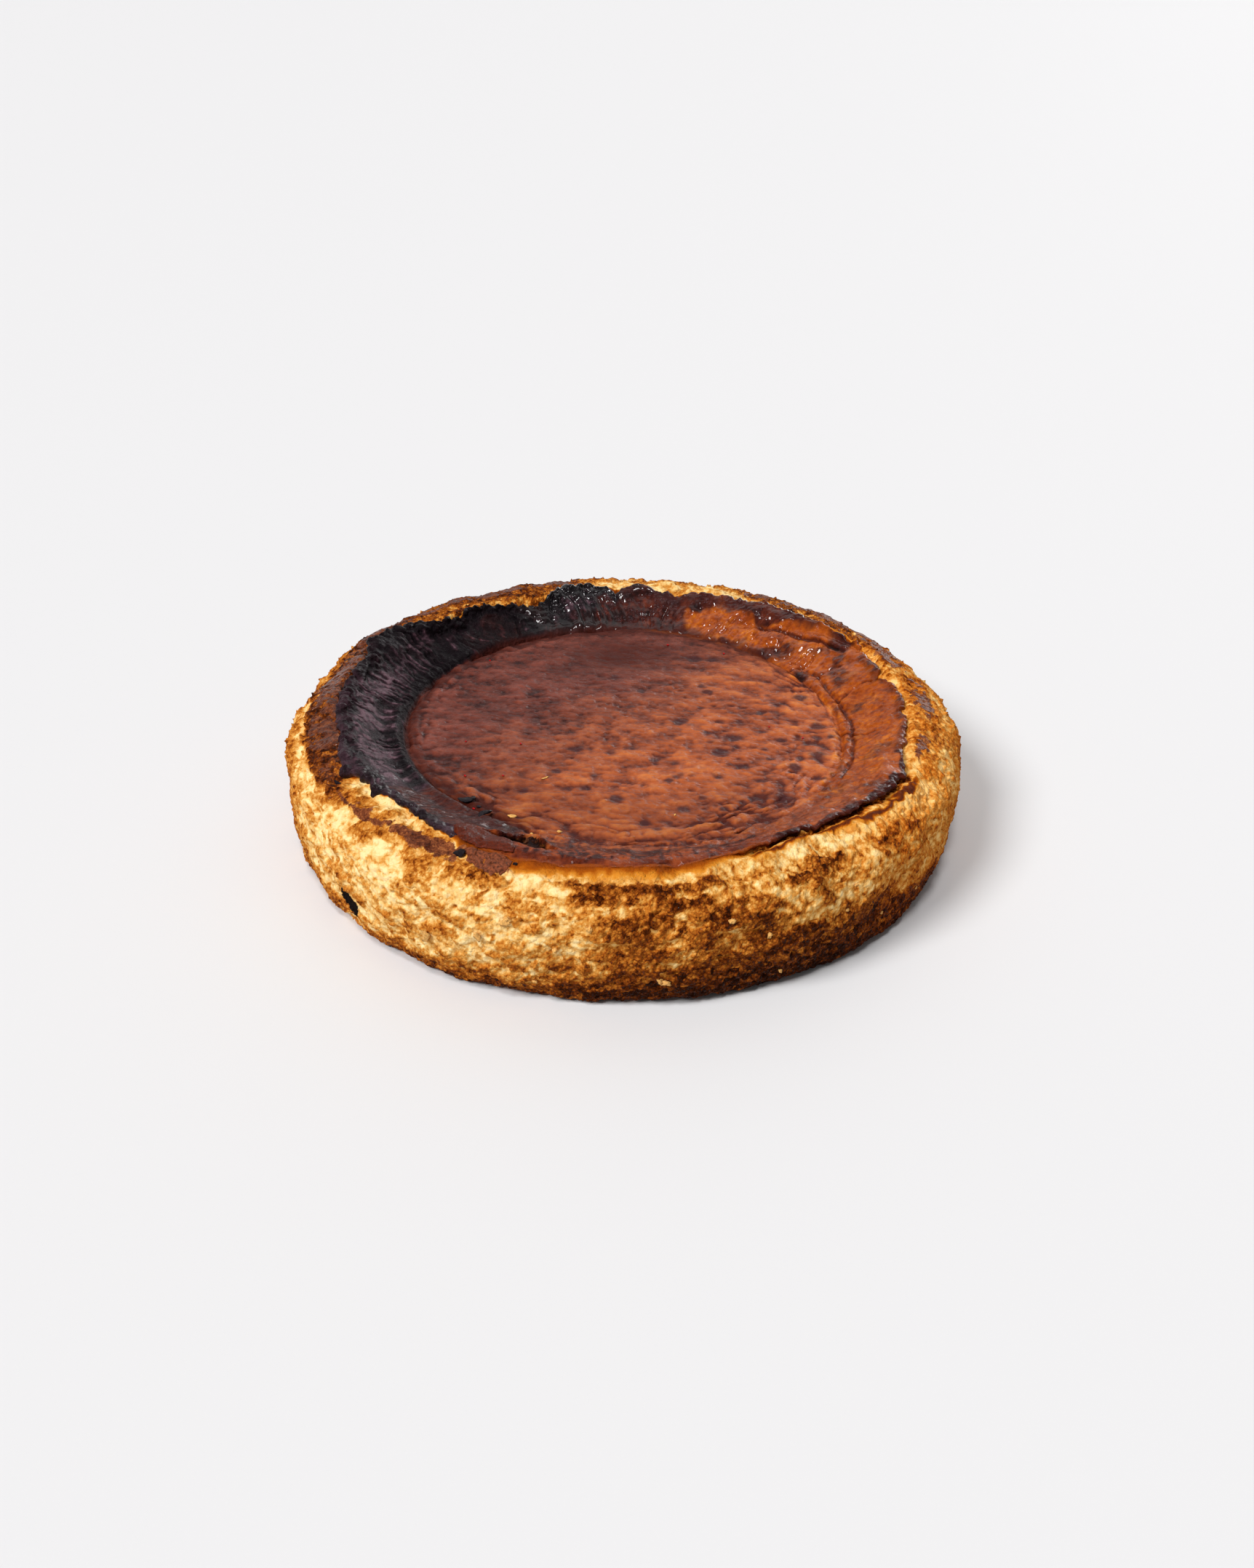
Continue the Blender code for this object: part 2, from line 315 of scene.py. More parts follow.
# Patches of brown crust and of pale torn crumb: azimuth, station, half width, half height, and
# darkness, which is 0 for the pale ones
CRUST_PATCHES = (
    (265, 7.8, 5.5, 0.22, 0.2), (274, 7.6, 5.0, 0.28, 0.26), (264, 7.0, 5.0, 0.22, 0.14),
    (279, 6.6, 3.0, 0.3, 0.1), (294.3, 8.0, 1.8, 0.35, 0.1), (304, 7.15, 4.6, 0.55, 0.14),
    (298.0, 6.7, 3.2, 0.4, 0.1), (316.5, 6.7, 2.4, 0.4, 0.16), (324, 6.2, 2.8, 0.5, 0.1),
    (290, 5.4, 2.5, 0.4, 0.1), (298, 3.9, 3.0, 0.4, 0.12), (246, 7.4, 3.2, 0.3, 0.18),
    (236, 6.9, 3.5, 0.35, 0.05), (228, 7.6, 4.0, 0.3, 0.05), (222, 6.8, 3.0, 0.5, 0.05),
    (285, 7.1, 5.5, 0.4, 0), (309, 8.1, 4.5, 0.35, 0), (297, 5.4, 3.0, 0.4, 0), (268, 6.2, 5.0, 0.5, 0),
    (256, 7.6, 4.5, 0.5, 0), (243, 6.2, 4.0, 0.6, 0), (231, 6.2, 3.0, 0.8, 0), (217, 7.4, 3.0, 0.5, 0),
    (177, 8.0, 3.0, 0.25, 0), (186, 6.8, 6.0, 0.3, 0), (200, 6.7, 5.0, 0.4, 0), (198, 9.2, 3.0, 0.3, 0))


def baking(azimuth, station, points):
    """How browned the crumb is, below 0 pale to above 0 brown, before its mottling, and its tone, both with
    some painted shade.
    """
    degrees, sector = sectors(azimuth)
    z = points[..., 2] / MM
    front_left = sector(212, 248, 9)
    front_right = sector(292, 316, 8)
    right = sector(322, 362, 8)
    back = sector(30, 150, 20)
    left = sector(150, 210, 10)
    wander = 3.0 * lumps(points, 8, 65) + 3.4 * lumps(points, 2.6, 67)
    # Low is the dark band at the base and lower the darker lower half of the side: browner crust, and in
    # part painted shade of the cake's lower side
    low = 1 - step(3.0, 11.0, z + wander - 3.5 * sector(283, 325, 14))
    low *= 0.55 + 0.45 * sector(240, 335, 20) - 0.3 * sector(185, 235, 12)
    lower = (1 - step(9, 24, z + 6 * lumps(points, 12, 66))) * (0.45 + 0.55 * sector(262, 332, 14))
    top = step(6.8, 7.6, station)
    cover = 0.02 - 0.26 * front_left * band(14, 36, 6, z) - 0.22 * front_right * band(27, 44, 4, z)
    cover += 0.06 * sector(266, 292, 10) - 0.04 * right + 0.04 * back + 0.07 * left
    cover += 0.10 * sector(298, 326, 8) * band(12, 30, 6, z)
    strip = sector(212, 252, 5) * hump(0, 0.42, station - 7.95 - 0.018 * (degrees - 212))
    cover += 0.34 * strip
    deep = sector(278, 332, 14)
    cover += (0.24 + 0.14 * deep) * lower + 0.55 * low
    shoulder_band = sector(106, 148, 8) * band(7, 8.8, 0.5, station)
    cover += 0.62 * top * sector(150, 206, 6) + 0.45 * shoulder_band
    cover += 0.22 * top * sector(-18, 60, 8)
    cover -= 0.5 * sector(62, 102, 5) * step(8.6, 9.3, station)
    tone = 0.32 + 0.03 * back - 0.01 * left + 0.08 * strip + 0.04 * sector(270, 350, 15) + 0.25 * low
    tone += (0.11 + 0.13 * deep) * lower
    tone += 0.38 * top * sector(152, 206, 8) + 0.12 * top * sector(-12, 60, 8)
    tone += 0.22 * shoulder_band
    # Darker just under the skin at the back left: moister crumb, and painted shade under the overhanging
    # rim
    tone += 0.16 * sector(104, 146, 6) * step(9.0, 9.6, station)
    for bearing, level, turn, rise, dark in CRUST_PATCHES:
        there = patch(bearing, level, turn, rise, degrees, station)
        cover += (0.62 if dark > 0 else -0.5) * there
        tone += dark * there
    calm = sector(243, 292, 8) * step(7.9, 8.4, station)
    return cover - 0.5 * calm, tone


def crumb_surface(azimuth, station, points, edge):
    """Fine relief of the crumb in millimetres, and its browning with painted shade and light: crust, curds,
    tears, pores and flakes.
    """
    sector = sectors(azimuth)[1]
    cover, tone = baking(azimuth, station, points)
    flat = points * (1, 1, 1.5)
    warp = np.stack([lumps(points, 3.5, 35), lumps(points, 3.5, 36), lumps(points, 3.5, 37)], -1)
    flat += warp * 1.8 * MM
    small, small_tone = clumps(flat, 1.7, 46)
    large, large_tone = clumps(flat, 3.4, 41)
    spread = (0.26 * lumps(flat, 15, 61) + 0.42 * lumps(flat, 6.5, 62) + 0.30 * lumps(flat, 3.0, 63)
              + 0.16 * (large_tone - 0.5) + 0.22 * (small_tone - 0.5))
    browned = cover + spread
    crust = 0.65 * step(-0.30, 0.40, browned) + 0.35 * step(-0.04, 0.1, browned)

    rough = step(0.1, 0.8, station) * (1 - 0.6 * step(-0.9, -0.1, station - edge))
    rough *= 1 - 0.7 * sector(243, 292, 8) * step(8.2, 8.7, station)
    rubble = curds(points, 2.3, 42)
    billow = 0.50 * large + 0.26 * rubble + 0.20 * lumps(points, 1.2, 43)
    granule = 0.50 * small + 0.36 * lumps(points, 1.3, 47) + 0.24 * lumps(points, 0.85, 48)
    shelf = 0.4 * crust + 0.3 * step(-0.03, 0.06, browned)
    stair = 2.2 * lumps(flat, 7.0, 49)
    tear = np.floor(stair) + step(0.5, 1.0, stair - np.floor(stair)) - 0.5 - stair * 0.7
    away, number = bubbles(points, 3.2, 45)
    pores = -1.4 * step(0.5, 0.75, number) * hump(0, 0.2, away) * (1 - 0.5 * crust)
    away, number = bubbles(points, 2.6, 51)
    flakes = step(0.5, 1.0, number) * (1 - step(0.12, 0.3, away + 0.10 * lumps(points, 0.9, 52)))
    flakes *= band(5.4, 9.0, 0.8, station) * (1 - 0.8 * sector(225, 320, 12))
    flakes *= 1 + 0.3 * sector(-25, 60, 10) + 0.3 * sector(110, 205, 10)
    height = shelf + crust * granule + (1 - crust) * billow + 0.24 * tear + pores + flakes

    # Pale crumb is lighter on its raised lumps and darker in the creases between them: painted shade
    pale = 0.25 - 0.10 * large - 0.08 * rubble + 0.22 * (small_tone - 0.5)
    pale += 0.34 * np.clip(browned, -0.5, 0.2) + 0.20 * lumps(flat, 2.4, 64)
    crusty = 0.05 + tone + 0.26 * granule + 0.26 * np.clip(browned, 0, 0.7) + 0.16 * (small_tone - 0.5)
    level = (1 - crust) * (pale + 0.5 * (tone - 0.34)) + crust * crusty
    # Painted light and shade by side: darker at the front and front right, lighter at the front left and at
    # the right side; darker at the back
    level += 0.05 * sector(30, 180, 10) - sector(318, 380, 12) * (0.05 + 0.10 * crust)
    level += 0.12 * sector(270, 318, 12) - 0.05 * sector(190, 262, 10)
    # Darker in the pores and down the torn steps: painted shade
    level += 0.2 * step(0.3, 0.9, -pores) - 0.08 * np.clip(tear, -1, 1)
    gap = edge_gap(azimuth, station)
    level += 0.28 * np.clip(gap, 0, 2) * sector(293, 334, 5)
    level -= 0.16 * sector(298, 333, 5) * band(1.0, 1.9, 0.3, edge - station)
    level -= 0.10 * np.clip(gap, 0, 2) * (sector(336, 386, 5) + sector(210, 239, 4))
    return rough * height, level - 0.6 * np.maximum(level - 0.7, 0)


def glaze(azimuth, station, points):
    """Brown glaze on the crumb next to the skin, 1 at its edge, fading outwards."""
    sector = sectors(azimuth)[1]
    front = sector(243, 292, 6)
    front_right = sector(295, 333, 5)
    wander = 0.16 * lumps(points, 6, 71) + 0.12 * lumps(points, 2.2, 72)
    out = skin_edge(azimuth, 0.3) - station + wander
    shade = 0.74 * (1 - front_right) * (1 - step(0, 0.21 + 0.84 * front, out))
    lip = front_right * (0.8 * hump(0.72, 0.14, out + 0.5 * wander) + 0.22 * band(0.75, 1.0, 0.3, out))
    return np.maximum(shade, lip)


# Meshes

def smooth_directions(grid):
    """The direction square to a grid that closes round: across its columns, then up its rows."""
    square = np.cross(np.roll(grid, -1, 1) - np.roll(grid, 1, 1), np.gradient(grid, axis=0))
    return square / np.maximum(np.linalg.norm(square, axis=-1, keepdims=True), 1e-12)


def finish_mesh(name, points, directions, faces, hidden, values, material):
    """A piece from its points, shown smooth faces, flat hidden faces and named point values."""
    every = list(faces) + list(hidden)
    sizes = np.concatenate([np.full(len(block), block.shape[1]) for block in every])
    corners = np.concatenate([block.ravel() for block in every])
    shown = sum(len(block) for block in faces)
    mesh = bpy.data.meshes.new(name)
    mesh.vertices.add(len(points))
    mesh.vertices.foreach_set("co", points.astype(np.float32).ravel())
    mesh.loops.add(len(corners))
    mesh.loops.foreach_set("vertex_index", corners.astype(np.int32))
    mesh.polygons.add(len(sizes))
    mesh.polygons.foreach_set("loop_start", np.concatenate([[0], np.cumsum(sizes)[:-1]]).astype(np.int32))
    mesh.update(calc_edges=True)
    mesh.polygons.foreach_set("use_smooth", np.arange(len(sizes)) < shown)
    for key, array in values.items():
        layer = mesh.attributes.new(key, "FLOAT", "POINT")
        layer.data.foreach_set("value", array.astype(np.float32).ravel())
    if directions is not None:
        square = directions[corners]
        square[sizes[:shown].sum():] = 0
        mesh.normals_split_custom_set(square)
    mesh.materials.append(material)
    piece = bpy.data.objects.new(name, mesh)
    bpy.context.scene.collection.objects.link(piece)
    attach(piece, "root")
    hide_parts("cheesecake")
    return piece


def strip_faces(low, high, columns):
    """Quads between two closed rings of points, given the first number of each."""
    here = np.arange(columns)
    following = (here + 1) % columns
    return np.stack([low + here, low + following, high + following, high + here], -1)


def fan(middle, ring, columns, upward):
    """Triangles from a middle point to a closed ring of points."""
    here = ring + np.arange(columns)
    following = ring + (np.arange(columns) + 1) % columns
    middles = np.full(columns, middle)
    return np.stack([middles, here, following] if upward else [middles, following, here], -1)


def ring_piece(name, grid, directions, values, ends, material):
    """A round piece from rows of a closed grid. Its two ends, lowest row first, are closed by a
    point each, or by one hidden ring inside the cake given by its radius and height. An end that
    shows is a smooth fan."""
    rows, columns = grid.shape[:2]
    count = rows * columns
    shown = [strip_faces(row * columns, (row + 1) * columns, columns) for row in range(rows - 1)]
    hidden = []
    if len(ends) == 1:
        radius, height = ends[0]
        turn = np.arange(columns) * 2 * math.pi / columns
        extra = np.stack([radius * np.cos(turn), radius * np.sin(turn), np.full(columns, height)], -1)
        hidden = [strip_faces(count - columns, count, columns), strip_faces(count, 0, columns)]
    else:
        extra = np.array([end[:3] for end in ends])
        hidden.append(fan(count, 0, columns, False))
        (shown if ends[1][3:] else hidden).append(fan(count + 1, count - columns, columns, True))
    points = np.concatenate([grid.reshape(-1, 3), extra])
    square = np.concatenate([directions.reshape(-1, 3), np.tile((0.0, 0.0, 1.0), (len(extra), 1))])
    values = {key: np.concatenate([array.ravel(), np.full(len(extra), array[-1].mean())])
              for key, array in values.items()}
    return finish_mesh(name, points, square, shown, hidden, values, material)


def crumb_rows(azimuth, station, edge):
    """Points of the crumb: the plain profile pushed out by its relief, and its finish values."""
    points, outward = plain_surface(azimuth, station)
    degrees, sector = sectors(azimuth)
    z = points[..., 2] / MM
    fine, toast_and_painted_shade = crumb_surface(azimuth, station, points, edge)
    torn = torn_skin(azimuth, station, points)
    rise = relief(azimuth, station, points) + fine * (1 - 0.55 * torn) + 0.5 * torn
    rise -= edge_gap(azimuth, station) + 1.3 * step(0.0, 0.25, station - edge)
    rise -= 1.2 * sector(168, 212, 14) * band(3, 8, 2, station)
    rise -= 0.7 * sector(50, 130, 15) * step(7, 8, station)
    ragged = 0.5 * lumps(points, 4, 81) + 0.5 * lumps(points, 1.8, 82)
    aside, above = degrees - 221.3, z - 12.4
    char = step(0.35, 0.5, hump(0, 1.9, aside + 0.22 * (above - 0.1)) * hump(0, 4.6, above)
                + 0.75 * ragged * hump(0, 4, aside) * hump(0, 9, above))
    rise += (0.4 + 0.5 * ragged) * char
    # The crumb's browning has painted shade and painted light mixed in: by side, in creases and in pores
    values = {"toast_and_painted_shade": toast_and_painted_shade, "glaze": glaze(azimuth, station, points), "torn": torn,
              "char": char, "moist": 0.7 * step(7, 8, station) * sector(152, 206, 10),
              # The right side is tinted warmer and more saturated: painted warm shade
              "warm_painted_shade": sector(320, 384, 16)}
    points += outward * (rise * MM)[..., None]
    points[..., 2] = np.maximum(points[..., 2], 0)
    return points, values


def make_crumb(material):
    """Base, side and shoulder: one grid of stations from the base edge to under the torn skin,
    cut into three stacked rings."""
    turn = np.arange(CRUMB_COLUMNS) * 2 * math.pi / CRUMB_COLUMNS
    side = np.concatenate([[0, 0.35, 0.7], np.linspace(1, SHOULDER_STATION, BASE_ROWS + SIDE_ROWS - 4)])
    share = np.linspace(0, 1, SHOULDER_ROWS)[1:]
    edge = skin_edge(turn)
    shoulder = SHOULDER_STATION + share[:, None] * (edge + UNDER_SKIN - SHOULDER_STATION)
    stations = np.concatenate([np.repeat(side[:, None], CRUMB_COLUMNS, 1), shoulder])
    azimuth = np.broadcast_to(turn, stations.shape)
    points, values = crumb_rows(azimuth, stations, np.broadcast_to(edge, stations.shape))
    points[0, :, 2] = 0
    directions = smooth_directions(points)
    cuts = ((0, BASE_ROWS, ((0, 0, 0), (0, 0, 0.004)), "base_crumb"),
            (BASE_ROWS - 1, BASE_ROWS + SIDE_ROWS - 1, ((0.095, 0.022),), "side_crumb"),
            (BASE_ROWS + SIDE_ROWS - 2, len(points), ((0.093, 0.028),), "shoulder_crumb"))
    for first, last, ends, name in cuts:
        part = {key: array[first:last] for key, array in values.items()}
        ring_piece(name, points[first:last], directions[first:last], part, ends, material)


# Dark spots of the sunken top: azimuth, distance from the middle and size in millimetres
TOP_SPOTS = ((343, 39.6, 6.0), (327, 39.3, 6.2), (359.5, 19.3, 5.4), (43.8, 38.7, 4.4), (230, 26.1, 5.0),
             (260, 23.2, 4.2), (291, 29.0, 4.6), (323, 50.5, 4.6), (310, 49.6, 5.0), (288, 60.9, 5.6),
             (317, 71.9, 7.6), (267, 52.6, 5.4), (234, 57.8, 5.2), (253.5, 47.2, 4.6), (357.5, 68.9, 4.8),
             (352, 73.3, 4.2), (341, 70.5, 7.0), (15, 66.6, 5.6), (36.5, 37.7, 3.6), (76.5, 23.0, 4.0),
             (96.5, 33.6, 3.6), (235, 42.4, 3.8), (254.7, 39.5, 4.0), (318.5, 60.7, 3.8), (310.5, 67, 5.0),
             (333, 57, 3.6), (347, 56, 3.2), (8, 50, 3.4), (300, 66, 3.4), (345, 30, 3.8), (20, 30, 3.2),
             (62, 57, 5.4), (56, 60, 4.6), (290, 43, 3.4), (276, 66, 3.6), (332, 66, 4.2))


def crease(azimuth, inside):
    """Depth in millimetres of the crease where wall and sunken top meet, by distance from it."""
    sector = sectors(azimuth)[1]
    ring = round_points(azimuth, 0.077, azimuth * 0)
    deep = 1.2 * sector(100, 236, 10) + 0.55 * sector(55, 100, 10)
    deep += 0.8 * sector(-12, 55, 10) + 0.12
    deep *= 0.75 + 0.4 * lumps(ring, 9, 91)
    wander = inside + 0.9 * lumps(round_points(azimuth, 0.077, inside * 0.3 * MM), 11, 92)
    return 0.9 * deep * (hump(0, 0.8, wander) + 0.4 * hump(0, 2.2, wander))


def wall_relief(azimuth, station, along, points, into, burnt):
    """Relief of the burnt wall in millimetres: fibres at the left, wet folds at the back, soft
    wrinkled skin at the right and front, and crackle where it is black; also its fibres and cracks."""
    body = step(0.4, 1.4, into)
    degrees, sector = sectors(azimuth)
    warp = azimuth + 0.05 * lumps(points, 16, 110) + 0.02 * lumps(points, 7, 109)
    fibres = lumps(round_points(warp, 0.095, 0.2 * along), 1.1, 111)
    fibres += 0.25 * lumps(round_points(warp, 0.095, 0.25 * along), 2.8, 112)
    fibres += 0.7 * lumps(points, 1.5, 106)
    fibres *= 1 - 0.65 * sector(213, 242, 6)
    pleats = curds(round_points(warp, 0.095, 0.26 * along), 5.4, 113)
    pleats += 0.8 * curds(round_points(warp, 0.095, 0.3 * along), 2.6, 108)
    rise = 0.32 * fibres * body * (sector(150, 240, 12) + 0.45 * sector(100, 150, 8))
    rise += 0.35 * lumps(points, 10, 107) * body * sector(100, 240, 12)
    goose = 0.24 * lumps(points, 1.8, 104) + 0.16 * lumps(points, 1.0, 100)
    rise += goose * sector(-64, 64, 12)
    wet_zone = sector(28, 108, 10) * band(10.8, 13.6, 0.5, station)
    rise += (0.34 * pleats + 0.34 * lumps(points, 3.4, 103)) * body * wet_zone
    rise += 0.22 * lumps(points, 4.0, 121) * sector(280, 400, 10)
    rise += 0.15 * lumps(points, 2.2, 114) + 0.07 * lumps(points, 1.1, 116)
    away = bubbles(points, 2.1, 115)[0]
    edge_zone = burnt * hump(0.4, 0.8, into)
    rise += 1.1 * (0.45 - away) * edge_zone + 0.8 * burnt * curds(points, 3.2, 117) * edge_zone
    wrinkles = curds(round_points(warp, 0.034, along), 2.2, 118)
    where = 0.35 * sector(236, 292, 10) + sector(292, 335, 10) + 0.6 * sector(335, 385, 10)
    rise += 0.22 * wrinkles * where * step(11.6, 12.6, station)
    rise += sector(243, 296, 5) * (0.22 * lumps(points, 1.7, 98) - 0.4 * hump(12.4, 0.14, station))
    crack = 0
    for place, low, high, depth in WALL_SPLITS:
        line = place + 1.3 * np.sin(station * 2.2 + place) + 0.6 * lumps(points, 3, 119)
        turn = (degrees - line + 180) % 360 - 180
        crack += depth * hump(0, 0.36, turn) * band(low, high, 0.3, station)
    ridge = sector(178, 226, 8)
    rise += ridge * (0.9 * hump(13.25, 0.3, station) - 0.7 * hump(12.6, 0.25, station))
    bulge = sector(100, 236, 10)
    rise += 0.9 * bulge * hump(13.45, 0.35, station)
    lip = sector(-25, 28, 8)
    sway = 0.1 * lumps(points, 5, 148)
    rise += lip * 0.5 * hump(13.6, 0.2, station)
    crack += 0.9 * lip * hump(13.2 + sway, 0.1, station)
    fold_crack = 11.65 + (degrees - 34.5) * 0.033 + sway
    crack += 1.3 * sector(30, 52, 3) * hump(0, 0.13, station - fold_crack)
    rise += 0.8 * sector(30, 52, 4) * hump(0.5, 0.4, fold_crack - station)
    return rise - crack, fibres, crack


# Splits down the wall: azimuth, lowest and highest station, depth in millimetres
WALL_SPLITS = ((12.5, 11.6, 13.4, 0.8), (354, 12.4, 13.9, 0.9), (33, 12.6, 13.8, 0.7),
               (24, 12.2, 13.6, 0.5), (122, 12.2, 13.6, 0.5), (138, 12.6, 13.8, 0.5),
               (150, 10.6, 11.6, 0.7))


def top_relief(azimuth, radius, inside, points, right):
    """Relief of the sunken top in millimetres: hollow, leathery dimples, pits, and wrinkles that
    run round near its edge; also the height of the leather alone, its dark spots, and how near
    the middle of the hollow it is."""
    sector = sectors(azimuth)[1]
    x, y = points[..., 0] / MM, points[..., 1] / MM
    spot = np.zeros_like(radius)
    torn = 1.1 * lumps(points, 3.2, 131) + 0.6 * lumps(points, 1.5, 132)
    for bearing, distance, size in TOP_SPOTS:
        away = np.hypot(x - distance * math.cos(math.radians(bearing)),
                        (y - distance * math.sin(math.radians(bearing))) * 1.1) + torn
        spot = np.maximum(spot, 1 - step(-0.1 * size, 0.85 * size, away))
    away, number = bubbles(points * (1, 1.25, 1), 6.0, 133)
    small = step(0.4, 0.7, number) * (1 - step(0.06, 0.48, away + 0.08 * torn))
    spot = np.maximum(spot, small * np.clip(1.1 * right - 0.25, 0, 0.7))
    hollow = np.hypot(x - HOLLOW_RADIUS * math.cos(math.radians(HOLLOW_AZIMUTH)),
                      (y - HOLLOW_RADIUS * math.sin(math.radians(HOLLOW_AZIMUTH))) * 1.6)
    pits, number = bubbles(points * (0.9, 1.2, 1), 4.2, 135)
    pitted = step(0.3, 0.75, number) * (1 - step(0.08, 0.5, pits + 0.05 * torn))
    small_pits, number = bubbles(points * (0.75, 1.2, 1), 2.4, 136)
    small_pitted = step(0.45, 0.8, number) * (1 - step(0.1, 0.45, small_pits))
    flat = points * (0.75, 1.2, 1.0)
    leather = 0.30 * lumps(flat, 5.0, 137) + 0.25 * lumps(flat, 2.4, 138)
    leather -= 0.24 * pitted * (0.4 + 0.6 * right) + 0.20 * small_pitted * (1.2 - 0.5 * right)
    leather += 0.14 * lumps(points, 1.3, 139) - 0.24 * spot
    near = 1 - step(2, 17, inside - 8 * sector(296, 372, 12))
    sway = radius + 1.6 * MM * lumps(points, 9, 140)
    wrinkles = curds(round_points(azimuth, 0.016, sway), 2.7, 141)
    wrinkles = 0.7 * wrinkles + 0.4 * curds(round_points(azimuth, 0.03, sway), 1.6, 149)
    blisters, number = clumps(points, 4.6, 157)
    wrinkles += 1.1 * sector(-24, 14, 10) * band(4, 12, 3, inside) * (blisters - wrinkles)
    where = (sector(300, 386, 14) + 1.1 * sector(225, 300, 12)
             + 0.4 * sector(26, 60, 12) + 0.55 * sector(150, 225, 10))
    leather += 0.56 * wrinkles * near * where
    cracks = curds(round_points(azimuth, 0.05, radius), 3.0, 142)
    leather += 0.40 * cracks * (1 - step(2, 16, inside)) * sector(120, 232, 14)
    calm = 1 - 0.65 * hump(0, 20, hollow)
    rise = leather * calm - HOLLOW_DEPTH * hump(0, 17, hollow) + 0.35 * lumps(points, 13, 11)
    ripple = 0.16 * np.sin(hollow * 0.9 + 2.5 * lumps(points, 9, 143)) * hump(8, 9, hollow)
    return rise + ripple, leather * calm, spot, hump(0, 20, hollow)


